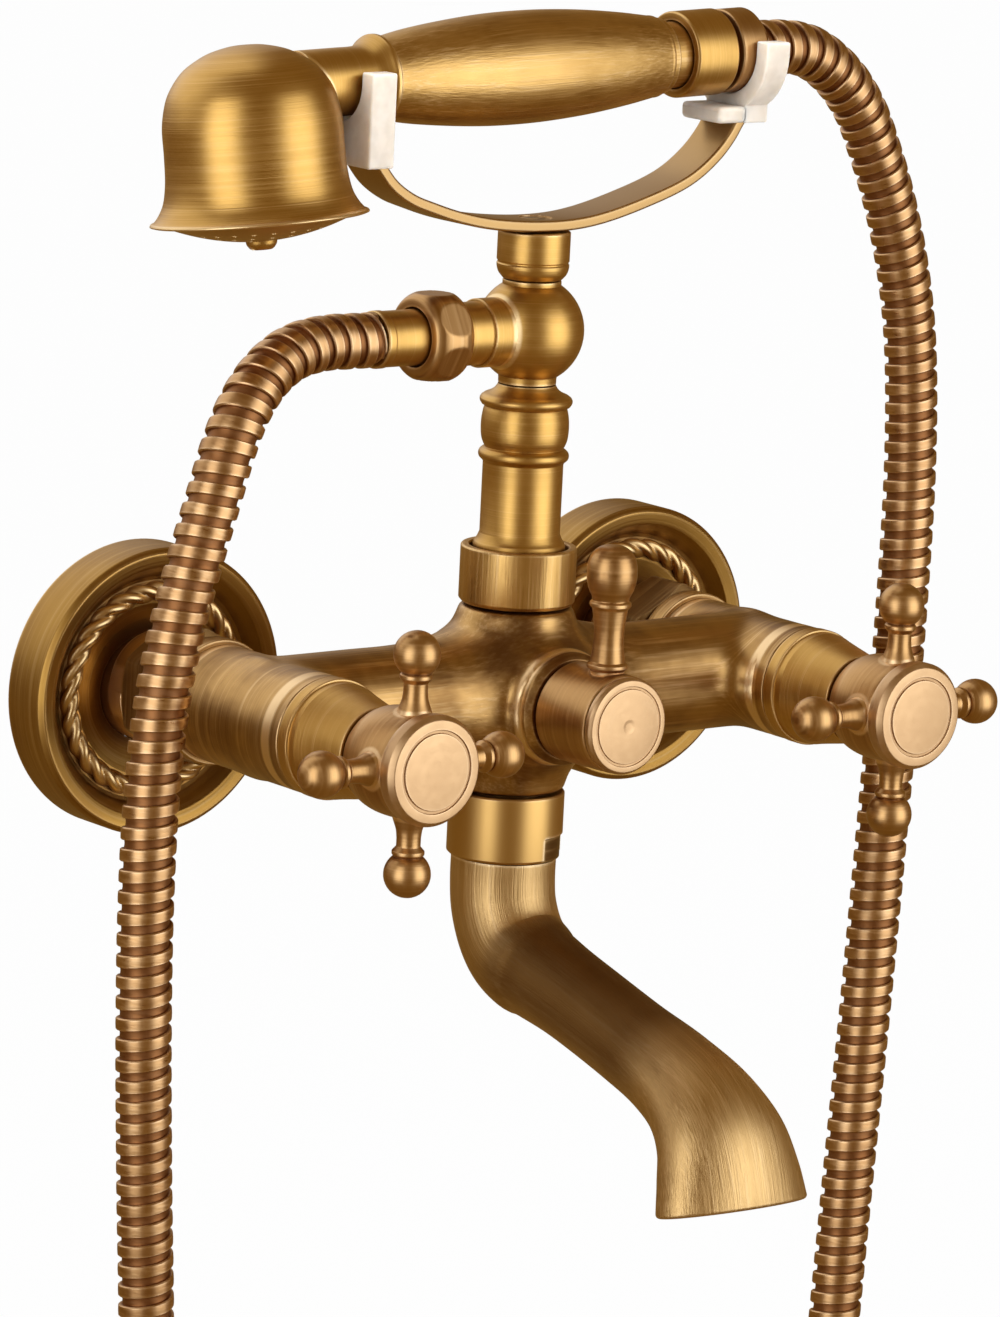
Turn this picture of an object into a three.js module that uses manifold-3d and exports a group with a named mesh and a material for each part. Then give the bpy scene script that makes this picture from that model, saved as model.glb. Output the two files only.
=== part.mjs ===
// Wall mounted bath faucet with cross handles, diverter, swivel spout and a hand shower on a cradle.
// Millimetres, +X right when facing the wall, +Y into the wall, +Z up.
// The origin is on the wall plane, midway between the two supplies, at the height of the valve axis.

import * as THREE from 'three';
import { mergeVertices } from 'three/addons/utils/BufferGeometryUtils.js';
import Module from 'manifold-3d';

const wasm = await Module();
wasm.setup();

// Driving sizes of the whole faucet
const supplySpacing = 150;
const columnReach = 57.7;
const clearance = 0.3;
const supplyDrop = 2;
const overrun = 5;
const valveX = supplySpacing / 2;

// Wall flange, seen as a shallow dish with a raised rope ring
const flange = {
  radius: 36,
  rimWall: 3,
  depth: 14.3,
  bevel: 1.5,
  lipWidth: 4.6,
  troughRadius: 28.2,
  floorDepth: 9.6,
  ropeRadius: 24.5,
  ropeThickness: 5.2,
  dishDrop: 3.2,
  plateThickness: 2.2,
};

// Eccentric union between the supply and the faucet
const union = {
  threadRadius: 10.4,
  threadLength: 16,
  barrelRadius: 13,
  barrelFront: 15,
  outletRadius: 13,
  outletFront: 26,
  boreRadius: 7,
};

const unionNut = {
  acrossFlats: 30,
  back: 18,
  web: 2,
  chamfer: 1.4,
};

const unionWasher = {
  thickness: 1.4,
  innerRadius: 8.5,
};

// Cast body
const body = {
  armRadius: 14.5,
  tailRadius: 10.6,
  tailFlangeLength: 2.7,
  endRingRadius: 15.6,
  endRingLength: 5,
  valveFront: 82,
  waterwayRadius: 7.5,
  cartridgeSeatBack: 62,
  cartridgeSeatRadius: 10.3,
  bulgeRadius: 20.2,
  bulgeReach: 36,
  neckRadius: 13.9,
  topFace: 22.4,
  bottomFace: -24,
  bossRadius: 14,
  bossLength: 24.3,
  bossEdge: 1.4,
  riserSeatRadius: 8.5,
  stubRadius: 10.5,
  stubLength: 5.8,
  stubFlangeRadius: 12.3,
  stubFlangeLength: 4.4,
};

// Shares of a fillet's reach, and of the step from its narrow to its wide radius
const armFilletShares = [[1, 0], [0.76, 0.1], [0.52, 0.4], [0.36, 0.8], [0.22, 1]];
const neckFilletShares = [[1, 0], [0.8, 0.25], [0.5, 1]];
const bossFilletShares = [[0, 1], [0.4, 0.8], [0.66, 0.16]];

// Valve: ceramic cartridge, its spindle and the turned bonnet
const bonnet = {
  ringRadius: 14.7,
  ringLength: 3.6,
  coneBackRadius: 14.1,
  coneFrontRadius: 11.2,
  length: 20.7,
  shoulderLength: 2.5,
};

const cartridge = {
  shoulderLength: 2,
  neckRadius: 7,
};

const spindle = {
  radius: 4,
  tailInset: 5,
};

// Cross handle
const cross = {
  plane: 116.2,
  reach: 26.4,
  hubRadius: 13.2,
  hubBackRadius: 10.6,
  hubFrontRadius: 12.6,
  hubLength: 17.7,
  recessRadius: 8.3,
  recessDepth: 3.9,
  web: 3.8,
  stemRadius: 2.9,
  stemRootRadius: 4.8,
  ringRadius: 3.9,
  ringLength: 1.1,
  ballRadius: 5.65,
};

const handleCap = {
  radius: 13.4,
  faceRadius: 12.2,
  thickness: 4.9,
  edge: 1.6,
  dome: 0.3,
};

const handleScrew = {
  headRadius: 4,
  headLength: 1.6,
  shankRadius: 1.9,
  shankLength: 12,
};

// Diverter: hub with an upright lever, turning on its own cartridge
const diverter = {
  hubRadius: 12.5,
  hubFrontRadius: 12,
  hubLength: 19.2,
  edge: 0.9,
  recessRadius: 7.4,
  recessDepth: 3.4,
  web: 3.4,
  leverReach: 94.6,
  leverBaseRadius: 4.2,
  leverWaistRadius: 3.7,
  leverNeckRadius: 4.5,
  leverRingRadius: 5.1,
  leverRingLength: 1.3,
  leverRingHeight: 13.2,
  leverUpperRingHeight: 28.4,
  knobRadius: 6.2,
  leverTop: 43.3,
};

const diverterCap = {
  radius: 12,
  faceRadius: 11.3,
  thickness: 2.1,
  edge: 0.9,
  dome: 0.4,
};

// Column above the body
const topCollar = {
  radius: 14.4,
  top: 37,
  recessRadius: 12.3,
  recessDepth: 3.6,
  edge: 0.8,
};

const riser = {
  radius: 9.95,
  spigotRadius: 8.2,
  spigotLength: 8.5,
  boreRadius: 5.2,
  tailBore: 3.8,
  baseBeadRadius: 11.4,
  baseBeadBottom: 35.2,
  baseBeadTop: 40,
  ringRadius: 11.2,
  ringHeight: 59.7,
  ringHalf: 1.7,
  barrelRadius: 10.7,
  barrelTop: 71.8,
  lipRadius: 11.4,
  lipHeight: 73.5,
  neckRadius: 7.15,
  top: 77.2,
  tailRadius: 5,
  tailLength: 6,
};

const riserRing = {
  height: 18.4,
  grooveDepth: 1.7,
  grooveHalf: 1.1,
};

const ball = {
  radius: 13.4,
  height: 90.6,
  topRingRadius: 7.25,
  top: 103.1,
  outletRadius: 8.5,
  outletStepRadius: 7.8,
  outletStep: 16.6,
  outletEnd: 26.2,
  waterwayRadius: 5.3,
};

const post = {
  radius: 8.95,
  footRadius: 7.6,
  footLength: 2.1,
  studRadius: 3.6,
  studLength: 5.5,
  top: 115.2,
};

const cradleScrew = {
  headRadius: 3.8,
  sink: 0.2,
  headLength: 2,
  shankRadius: 1.9,
  shankLength: 9,
};

// Hose connection on the ball
const outletNut = {
  acrossFlats: 20.4,
  back: 24.2,
  length: 9.4,
  chamfer: 1.2,
  lip: 2.6,
};

const outletWasherThickness = 1.4;

const ferrule = {
  radius: 7.05,
  collarRadius: 8.3,
  collarLength: 2,
  end: 48,
  boreRadius: 4.6,
};

// Swivel spout and the collar that hangs it on the body's stub
const spoutCollar = {
  radius: 14.4,
  bottom: -40.9,
  wall: 1.8,
  edge: 0.6,
  notchHeight: 6.1,
  notchStart: 24,
  notchEnd: 84,
};

const spout = {
  topRadius: 13.1,
  pipeRadius: 11.2,
  wall: 2.2,
  reach: 94.9,
  drop: 67.5,
  mouthHalfWidth: 21.5,
  mouthHalfDepth: 12.5,
  keyGapAngle: 1.3,
  steps: 13,
};

const stubRing = {
  grooveDepth: 1.5,
  grooveHalf: 1.1,
};

// Share of the reach and of the drop for each point of the spout's middle line
const spoutLineShares = [
  [0, 0], [0, 0.086], [0.009, 0.182], [0.041, 0.279], [0.08, 0.338], [0.135, 0.376], [0.203, 0.4],
  [0.356, 0.45], [0.572, 0.53], [0.736, 0.593], [0.867, 0.673], [0.944, 0.773], [0.979, 0.889], [1, 1],
];

// Length share, and how much of the top's and of the mouth's size is left there
const spoutSizeShares = [
  [0, 1, 0], [0.2, 0.98, 0], [0.285, 0.4, 0], [0.41, 0, 0], [0.56, 0, 0], [0.685, 0, 0.145],
  [0.787, 0, 0.37], [0.87, 0, 0.64], [0.94, 0, 0.855], [1, 0, 1],
];

// Hand shower, along its own axis; lengths run from the column towards each end
const handset = {
  height: 155.6,
  tilt: 2.1,
  roll: 6.8,
  neckRadius: 8.2,
  neckBore: 5,
  flareStart: -57.5,
  flareEnd: -50.5,
  flareRadius: 10.8,
  flareLip: 1.1,
  spigotRadius: 7.4,
  spigotLength: 6,
};

const bell = {
  offset: 86.9,
  lean: 1.5,
  drop: 31,
  rimRadius: 26.2,
  waistRadius: 21.4,
  height: 41.4,
  wall: 2.2,
  seatRadius: 22.6,
  seatDepth: 2.4,
};

const sprayPlate = {
  dome: 3.6,
  thickness: 1.8,
  screwHole: 2.3,
};

const sprayScrew = {
  headRadius: 3.8,
  headLength: 3,
  shankRadius: 2,
  shankLength: 6,
};

const grip = {
  leftRadius: 9.9,
  bellyRadius: 13.75,
  bellyAt: -10,
  rightRadius: 9.9,
  end: 34,
  beadRadius: 9.5,
  beadLength: 2,
  tailRadius: 8.2,
  tailEnd: 53.9,
  inletRadius: 7,
  inletEnd: 56.6,
  bore: 5.6,
  inletBore: 4.6,
};

const gripSleeve = {
  radius: 10.7,
  start: 40.6,
  end: 53.6,
  edge: 0.5,
};

const hoseNut = {
  radius: 10.4,
  endRadius: 8.9,
  start: 55.3,
  end: 64.5,
  shoulder: 1.6,
  web: 1.2,
  hole: 4.4,
  recessGap: 0.5,
};

const hoseWasherThickness = 0.7;

// Cradle: a bent strap whose two forks are moulded into plastic saddles
const strap = {
  thickness: 2.8,
  width: 13.5,
  forkThickness: 1.6,
  forkLength: 3.4,
  steps: 16,
};

const saddle = {
  length: 7.4,
  pocketClearance: 0.3,
  seatGap: 0.6,
  leftX: -58.15,
  leftOuterRadius: 13.9,
  leftBottom: 134,
  rightX: 62.2,
  rightOuterRadius: 15.2,
  rightBottom: 140.4,
  rightFoot: 7.8,
  shelfReach: 8,
  shelfHeight: 4.1,
  rise: 3.3,
};

// Metal spiral hose
const hose = {
  radius: 6.8,
  grooveRadius: 6,
  boreRadius: 3.4,
  ribs: 100,
  ribsPerBoreRing: 2,
  endRibs: 8,
  sides: 8,
  bandShare: 0.6,
};

// Route of the hose, chosen by hand, from the ferrule down and up to the hand shower
const hosePoints = [
  [-48.3, -57.7, 90.6], [-55.1, -57.7, 90.6], [-61.9, -57.7, 90.6], [-72.2, -58.6, 89],
  [-81.6, -60.6, 84.3], [-89.2, -62.8, 76.8], [-94.2, -64.2, 68], [-98, -64.8, 57.5],
  [-102.4, -65.1, 44.4], [-107.2, -65.2, 28], [-111.2, -65.3, 9], [-113.2, -65.3, -14],
  [-113.6, -65.2, -40], [-112.6, -65, -73], [-110.4, -64.6, -110], [-107.6, -64, -150],
  [-106.2, -63.2, -210], [-105.4, -62.2, -280], [-103.2, -61, -349], [-96.6, -60, -403],
  [-81.6, -59, -448], [-55.6, -58.4, -482], [-20.6, -58, -501], [20.6, -57.8, -502.6],
  [57.6, -57.7, -487], [86.4, -57.7, -456], [104.4, -57.7, -412], [112.4, -57.7, -356],
  [115, -57.7, -285], [117, -57.7, -215], [120, -57.7, -148], [122.8, -57.7, -95],
  [125.2, -57.7, -40], [127, -57.7, 10], [126.9, -57.7, 52], [124.3, -57.7, 82],
  [120.2, -57.7, 101], [114.3, -57.7, 118.4], [108.8, -57.7, 130.6], [102.7, -57.7, 141.8],
  [94.7, -57.7, 150.6], [84.2, -57.7, 156.8], [73, -57.7, 158.3], [66.2, -57.7, 158], [59.4, -57.7, 157.8],
];

// Numbers of flat sides
const sides = { large: 16, medium: 12, small: 8 };

// Finishes: colour, roughness and metalness
const finishes = {
  brass: [0xb0803a, 0.38, 0.9],
  darkBrass: [0x6b4a22, 0.5, 0.8],
  capBrass: [0xdcae80, 0.45, 0.7],
  steel: [0xa9a9a6, 0.35, 0.9],
  ceramicBody: [0x9a7a42, 0.5, 0.8],
  rubber: [0x1f1f1f, 0.8, 0],
  plastic: [0xe6e4e0, 0.4, 0],
  hoseBrass: [0xb98f55, 0.35, 0.9],
};

// Turns a three.js geometry into a solid whose faces point out
function weld(geometry) {
  const bare = new THREE.BufferGeometry();
  bare.setAttribute('position', geometry.getAttribute('position').clone());
  bare.setIndex(geometry.getIndex() ? geometry.getIndex().clone() : null);
  const merged = mergeVertices(bare, 1e-4);
  const points = merged.getAttribute('position').array;
  const index = merged.getIndex().array;
  const kept = [];
  for (let i = 0; i < index.length; i += 3) {
    const [a, b, c] = [index[i], index[i + 1], index[i + 2]];
    if (a !== b && b !== c && c !== a) kept.push(a, b, c);
  }
  if (signedVolume(points, kept) < 0) {
    for (let i = 0; i < kept.length; i += 3) [kept[i], kept[i + 1]] = [kept[i + 1], kept[i]];
  }
  const mesh = new wasm.Mesh({
    numProp: 3,
    vertProperties: Float32Array.from(points),
    triVerts: Uint32Array.from(kept),
  });
  return new wasm.Manifold(mesh);
}

function signedVolume(points, triangles) {
  const corner = [new THREE.Vector3(), new THREE.Vector3(), new THREE.Vector3()];
  let sum = 0;
  for (let i = 0; i < triangles.length; i += 3) {
    corner.forEach((v, k) => v.fromArray(points, 3 * triangles[i + k]));
    sum += corner[0].dot(corner[1].cross(corner[2]));
  }
  return sum / 6;
}

function toGeometry(solid) {
  const mesh = solid.getMesh();
  const geometry = new THREE.BufferGeometry();
  geometry.setAttribute('position', new THREE.BufferAttribute(mesh.vertProperties, 3));
  geometry.setIndex(new THREE.BufferAttribute(mesh.triVerts, 1));
  geometry.computeVertexNormals();
  return geometry;
}

const turns = {
  up: (geometry) => geometry,
  down: (geometry) => geometry.rotateX(Math.PI),
  front: (geometry) => geometry.rotateX(Math.PI / 2),
  right: (geometry) => geometry.rotateY(Math.PI / 2),
  left: (geometry) => geometry.rotateY(-Math.PI / 2),
};

// A turned piece: profile points are [radius, distance along the axis]
function turned(profile, count, direction = 'up') {
  const points = profile.map(([radius, along]) => new THREE.Vector2(radius, along));
  const geometry = new THREE.LatheGeometry(points, count).rotateX(Math.PI / 2);
  return turns[direction](geometry);
}

// A turned ring or pipe: the profile closes on itself
function hollow(profile, count, direction = 'up') {
  return turned([...profile, profile[0]], count, direction);
}

function rod(radius, from, to, count, direction = 'up') {
  return turned([[0, from], [radius, from], [radius, to], [0, to]], count, direction);
}

function pipe(outer, inner, from, to, count, direction = 'up') {
  return hollow([[inner, from], [outer, from], [outer, to], [inner, to]], count, direction);
}

function join(...geometries) {
  return geometries.map(weld).reduce((sum, next) => sum.add(next));
}

function cut(solid, ...geometries) {
  return geometries.map(weld).reduce((rest, next) => rest.subtract(next), solid);
}

// A hexagonal nut along its axis, with chamfered corners and no bore
function hexagon(acrossFlats, from, to, chamfer, direction) {
  const corner = acrossFlats / Math.sqrt(3);
  const prism = turned([[0, from], [corner, from], [corner, to], [0, to]], 6, direction);
  const turnedEnds = turned([
    [0, from], [corner - chamfer, from], [corner, from + chamfer],
    [corner, to - chamfer], [corner - chamfer, to], [0, to],
  ], sides.large, direction);
  return weld(prism).intersect(weld(turnedEnds));
}

// Points of a round ball from one latitude to another, in degrees
function ballArc(radius, centre, fromDegrees, toDegrees, steps) {
  const list = [];
  for (let i = 0; i <= steps; i += 1) {
    const angle = THREE.MathUtils.degToRad(fromDegrees + (toDegrees - fromDegrees) * i / steps);
    list.push([Math.max(0, radius * Math.cos(angle)), centre + radius * Math.sin(angle)]);
  }
  return list;
}

// Half a round bead on a ring, from its outer side to its inner side
function bead(ringRadius, base, radius, steps) {
  const list = [];
  for (let i = 0; i <= steps; i += 1) {
    const angle = Math.PI * i / steps;
    list.push([ringRadius + radius * Math.cos(angle), base + radius * Math.sin(angle)]);
  }
  return list;
}

// A fillet between a narrow and a wide radius, along its reach
function fillet(shares, reach, narrow, wide) {
  return shares.map(([along, blend]) => [THREE.MathUtils.lerp(narrow, wide, blend), along * reach]);
}

// Lays a piece built upright from height 0 along a curve; one section axis stays by the given side
function layAlong(geometry, curve, length, side, sizeAt) {
  const position = geometry.getAttribute('position');
  const across = new THREE.Vector3();
  const up = new THREE.Vector3();
  for (let i = 0; i < position.count; i += 1) {
    const share = THREE.MathUtils.clamp(position.getZ(i) / length, 0, 1);
    const place = curve.getPointAt(share);
    const tangent = curve.getTangentAt(share);
    const [width, depth] = sizeAt(share);
    up.crossVectors(tangent, side).normalize();
    across.crossVectors(up, tangent);
    place.addScaledVector(across, position.getX(i) * width);
    place.addScaledVector(up, position.getY(i) * depth);
    position.setXYZ(i, place.x, place.y, place.z);
  }
  return geometry;
}

const sideDirection = new THREE.Vector3(1, 0, 0);
const depthDirection = new THREE.Vector3(0, 1, 0);

// Height of the hand shower's axis above any point along the faucet
function axisHeight(x) {
  return handset.height + x * Math.tan(THREE.MathUtils.degToRad(handset.tilt));
}

const faucet = new THREE.Group();

function addPiece(name, solid, finish, place = [0, 0, 0], parent = faucet) {
  const [color, roughness, metalness] = finishes[finish];
  const material = new THREE.MeshStandardMaterial({ color, roughness, metalness });
  const mesh = new THREE.Mesh(toGeometry(solid), material);
  mesh.name = name;
  mesh.position.set(...place);
  parent.add(mesh);
  return mesh;
}

// Wall flange: outer rim, lip, trough, rope ring and the dished plate round the union
function makeFlange() {
  const { radius, rimWall, depth, bevel, troughRadius, floorDepth, plateThickness } = flange;
  const rope = flange.ropeThickness / 2;
  const hole = union.barrelRadius + clearance;
  const backFloor = floorDepth - plateThickness;
  return join(hollow([
    [radius - rimWall, 0], [radius, 0], [radius, depth - bevel], [radius - bevel, depth],
    [radius - flange.lipWidth, depth - bevel / 2], [troughRadius, floorDepth],
    ...bead(flange.ropeRadius, floorDepth, rope, 3),
    [hole, floorDepth - flange.dishDrop], [hole, backFloor - flange.dishDrop],
    [flange.ropeRadius - rope, backFloor], [radius - rimWall, backFloor],
  ], sides.large, 'front'));
}

const washerBack = union.outletFront + clearance;
const tailBack = washerBack + unionWasher.thickness + clearance;
const nutWebBack = tailBack + body.tailFlangeLength + clearance;
const nutFront = nutWebBack + unionNut.web;

// Eccentric union: the wall thread lies below the outlet that carries the nut
function makeUnion() {
  const { threadRadius, threadLength, barrelRadius, barrelFront, outletRadius, outletFront } = union;
  const barrelBack = flange.floorDepth - flange.dishDrop - flange.plateThickness;
  const low = join(
    rod(threadRadius, -threadLength, barrelFront, sides.large, 'front'),
    rod(barrelRadius, barrelBack, barrelFront, sides.large, 'front'),
  );
  const high = join(rod(outletRadius, barrelFront - overrun, outletFront, sides.large, 'front'));
  const lowBore = join(rod(union.boreRadius, -threadLength - overrun, barrelFront, sides.medium, 'front'));
  const highBore = join(
    rod(union.boreRadius, barrelFront - overrun, outletFront + overrun, sides.medium, 'front'),
  );
  const rise = [0, 0, supplyDrop];
  return low.add(high.translate(rise)).subtract(lowBore).subtract(highBore.translate(rise));
}

// Union nut: it screws on the union's outlet and its web draws the body's tail in
function makeUnionNut() {
  return cut(
    hexagon(unionNut.acrossFlats, unionNut.back, nutFront, unionNut.chamfer, 'front'),
    rod(union.outletRadius + clearance, unionNut.back - overrun, nutWebBack, sides.large, 'front'),
    rod(body.tailRadius + clearance, nutWebBack - clearance, nutFront + overrun, sides.large, 'front'),
  );
}

function makeUnionWasher() {
  const { thickness, innerRadius } = unionWasher;
  const front = washerBack + thickness;
  return join(pipe(union.outletRadius, innerRadius, washerBack, front, sides.large, 'front'));
}

// Valve barrel with its flanged tail at the back, closed in front until it is bored
function makeBarrel(x) {
  const ringBack = nutFront + clearance;
  const ringFront = ringBack + body.endRingLength;
  return turned([
    [0, tailBack], [union.outletRadius, tailBack], [union.outletRadius, tailBack + body.tailFlangeLength],
    [body.tailRadius, tailBack + body.tailFlangeLength], [body.tailRadius, ringBack],
    [body.endRingRadius, ringBack], [body.endRingRadius, ringFront], [body.armRadius, ringFront],
    [body.armRadius, body.valveFront], [0, body.valveFront],
  ], sides.large, 'front').translate(x, 0, 0);
}

// Both arms, swelling towards the middle
function makeArms() {
  const swell = fillet(armFilletShares, body.bulgeReach, body.armRadius, body.bulgeRadius);
  return turned([
    [0, -valveX], [body.armRadius, -valveX], ...swell.map(([r, x]) => [r, -x]),
    ...[...swell].reverse(), [body.armRadius, valveX], [0, valveX],
  ], sides.large, 'right').translate(0, -columnReach, 0);
}

const stubBottom = body.bottomFace - body.stubLength - body.stubFlangeLength;

// Upright middle of the body, down to the grooved stub that carries the spout
function makeNeck() {
  const neck = body.neckRadius;
  const middle = stubBottom + body.stubFlangeLength / 2;
  const groove = body.stubFlangeRadius - stubRing.grooveDepth;
  const stubShoulder = body.bottomFace - body.stubLength;
  return turned([
    [0, stubBottom], [body.stubFlangeRadius, stubBottom],
    [body.stubFlangeRadius, middle - stubRing.grooveHalf],
    [groove, middle - stubRing.grooveHalf], [groove, middle + stubRing.grooveHalf],
    [body.stubFlangeRadius, middle + stubRing.grooveHalf], [body.stubFlangeRadius, stubShoulder],
    [body.stubRadius, stubShoulder], [body.stubRadius, body.bottomFace],
    ...fillet(neckFilletShares, body.bottomFace, neck, body.bulgeRadius),
    ...fillet(neckFilletShares, body.topFace, neck, body.bulgeRadius).reverse(), [0, body.topFace],
  ], sides.large).translate(0, -columnReach, 0);
}

// Boss on the front for the diverter
function makeBoss() {
  const rise = fillet(bossFilletShares, body.bossLength, body.bossRadius, body.bulgeRadius);
  const front = columnReach + body.bossLength;
  return turned([
    [0, columnReach], ...rise.map(([r, out]) => [r, columnReach + out]),
    [body.bossRadius, front - body.bossEdge], [body.bossRadius - body.bossEdge, front], [0, front],
  ], sides.large, 'front');
}

// Cast body with its waterways, its three cartridge seats and the riser's seat
function makeBody() {
  const seat = (x) => rod(
    body.cartridgeSeatRadius, body.cartridgeSeatBack, body.valveFront + overrun, sides.medium, 'front',
  ).translate(x, 0, 0);
  const inlet = (x) => rod(
    body.waterwayRadius, tailBack - overrun, body.cartridgeSeatBack + overrun, sides.small, 'front',
  ).translate(x, 0, 0);
  return cut(
    join(makeArms(), makeBarrel(-valveX), makeBarrel(valveX), makeNeck(), makeBoss()),
    seat(-valveX), seat(valveX), seat(0), inlet(-valveX), inlet(valveX),
    rod(body.waterwayRadius, -valveX, valveX, sides.small, 'right').translate(0, -columnReach, 0),
    rod(body.waterwayRadius, stubBottom - overrun, 0, sides.small).translate(0, -columnReach, 0),
    rod(body.riserSeatRadius, 0, body.topFace + overrun, sides.medium).translate(0, -columnReach, 0),
  );
}

const bossFront = columnReach + body.bossLength;

// The three cartridges share one form; the diverter's ends flush with the boss
function makeCartridge(withNeck) {
  const radius = body.cartridgeSeatRadius - clearance;
  const back = body.cartridgeSeatBack + clearance;
  const front = withNeck ? body.valveFront + cartridge.shoulderLength : bossFront;
  const bore = spindle.radius + clearance;
  const neckFront = body.valveFront + bonnet.length - bonnet.shoulderLength;
  const neck = [[cartridge.neckRadius, front], [cartridge.neckRadius, neckFront], [bore, neckFront]];
  const tip = withNeck ? neck : [[bore, front]];
  return join(hollow([[bore, back], [radius, back], [radius, front], ...tip], sides.medium, 'front'));
}

// Spindle, tapped at its tip for the handle screw
function makeSpindle(tip) {
  const tail = body.cartridgeSeatBack + spindle.tailInset;
  const tapRadius = handleScrew.shankRadius + clearance;
  return join(turned([
    [0, tail], [spindle.radius, tail], [spindle.radius, tip], [tapRadius, tip],
    [tapRadius, tip - handleScrew.shankLength], [0, tip - handleScrew.shankLength],
  ], sides.medium, 'front'));
}

function makeBonnet() {
  const back = body.valveFront + clearance;
  const front = body.valveFront + bonnet.length;
  const ringFront = back + bonnet.ringLength;
  const wide = body.cartridgeSeatRadius;
  const narrow = cartridge.neckRadius + clearance;
  const step = body.valveFront + cartridge.shoulderLength + clearance;
  const middleRadius = (bonnet.coneBackRadius + bonnet.coneFrontRadius) / 2;
  return join(hollow([
    [wide, back], [bonnet.ringRadius, back], [bonnet.ringRadius, ringFront],
    [bonnet.coneBackRadius, ringFront], [bonnet.coneBackRadius, ringFront + bonnet.shoulderLength],
    [middleRadius, (ringFront + front) / 2 + bonnet.shoulderLength / 2],
    [bonnet.coneFrontRadius, front], [narrow, front], [narrow, step], [wide, step],
  ], sides.medium, 'front'));
}

const hubBack = body.valveFront + bonnet.length + clearance;
const hubFront = hubBack + cross.hubLength;
const webBack = hubFront - cross.recessDepth - cross.web;
const spindleTip = webBack - clearance;

// One spoke of the cross handle, standing up from the hub
function makeSpoke() {
  const root = cross.hubRadius * 0.8;
  const ringTop = cross.reach - cross.ballRadius * 0.82;
  const ringBottom = ringTop - cross.ringLength;
  return turned([
    [0, root], [cross.stemRootRadius, root], [cross.stemRadius, cross.hubRadius * 1.3],
    [cross.stemRadius, ringBottom - cross.ringLength], [cross.ringRadius, ringBottom],
    [cross.ringRadius, ringTop], ...ballArc(cross.ballRadius, cross.reach, -45, 90, 4),
  ], sides.small).translate(0, -cross.plane, 0);
}

// Cross handle: drum hub with four spokes
function makeCross() {
  const hub = turned([
    [0, hubBack], [cross.hubBackRadius, hubBack],
    [cross.hubRadius * 0.95, hubBack + cross.hubLength * 0.2],
    [cross.hubRadius, hubBack + cross.hubLength * 0.6],
    [cross.hubFrontRadius, hubFront], [0, hubFront],
  ], sides.large, 'front');
  const spokes = [0, 1, 2, 3].map((quarter) => makeSpoke().rotateY(quarter * Math.PI / 2));
  return cut(
    join(hub, ...spokes),
    rod(spindle.radius + clearance, hubBack - overrun, webBack, sides.medium, 'front'),
    rod(handleScrew.shankRadius + clearance, webBack - overrun, hubFront, sides.small, 'front'),
    rod(cross.recessRadius, hubFront - cross.recessDepth, hubFront + overrun, sides.large, 'front'),
  );
}

function makeHandleScrew(seat) {
  const { headRadius, headLength, shankRadius, shankLength } = handleScrew;
  const back = seat + clearance;
  return join(turned([
    [0, back - shankLength], [shankRadius, back - shankLength], [shankRadius, back],
    [headRadius, back], [headRadius, back + headLength], [0, back + headLength],
  ], sides.small, 'front'));
}

// Cap: a plug in the hub's recess under a slightly domed disc
function makeCap(cap, hubEnd, recessRadius, recessDepth) {
  const back = hubEnd + clearance;
  const front = back + cap.thickness;
  const plugRadius = recessRadius - clearance;
  const plugBack = hubEnd - recessDepth + handleScrew.headLength + 2 * clearance;
  return join(turned([
    [0, plugBack], [plugRadius, plugBack], [plugRadius, back], [cap.radius, back],
    [cap.radius, front - cap.edge], [cap.faceRadius, front], [0, front + cap.dome],
  ], sides.large, 'front'));
}

// Diverter hub with its lever
const leverHubBack = bossFront + clearance;
const leverHubFront = leverHubBack + diverter.hubLength;
const leverWebBack = leverHubFront - diverter.recessDepth - diverter.web;

function makeDiverterLever() {
  const hub = turned([
    [0, leverHubBack], [diverter.hubRadius - diverter.edge, leverHubBack],
    [diverter.hubRadius, leverHubBack + diverter.edge],
    [diverter.hubFrontRadius, leverHubFront], [0, leverHubFront],
  ], sides.large, 'front');
  const root = diverter.hubFrontRadius * 0.7;
  const low = diverter.leverRingHeight;
  const high = diverter.leverUpperRingHeight;
  const ring = diverter.leverRingLength;
  const knob = diverter.knobRadius;
  const knobMiddle = (high + ring + diverter.leverTop) / 2;
  const lever = turned([
    [0, root], [diverter.leverBaseRadius, root], [diverter.leverBaseRadius, low - ring / 2],
    [diverter.leverRingRadius, low], [diverter.leverRingRadius, low + ring / 2],
    [diverter.leverBaseRadius, low + ring], [diverter.leverWaistRadius, (low + high) / 2],
    [diverter.leverNeckRadius, high - ring / 2], [diverter.leverRingRadius, high],
    [diverter.leverRingRadius, high + ring / 2], [diverter.leverNeckRadius, high + ring],
    [knob * 0.94, knobMiddle - knob / 2], [knob, knobMiddle], [knob * 0.84, knobMiddle + knob * 0.7],
    [knob * 0.4, diverter.leverTop - diverter.edge / 2], [0, diverter.leverTop],
  ], sides.small).translate(0, -diverter.leverReach, 0);
  return cut(
    join(hub, lever),
    rod(spindle.radius + clearance, leverHubBack - overrun, leverWebBack, sides.medium, 'front'),
    rod(handleScrew.shankRadius + clearance, leverWebBack - overrun, leverHubFront, sides.small, 'front'),
    rod(diverter.recessRadius, leverHubFront - diverter.recessDepth, leverHubFront + overrun,
      sides.large, 'front'),
  );
}

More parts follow.
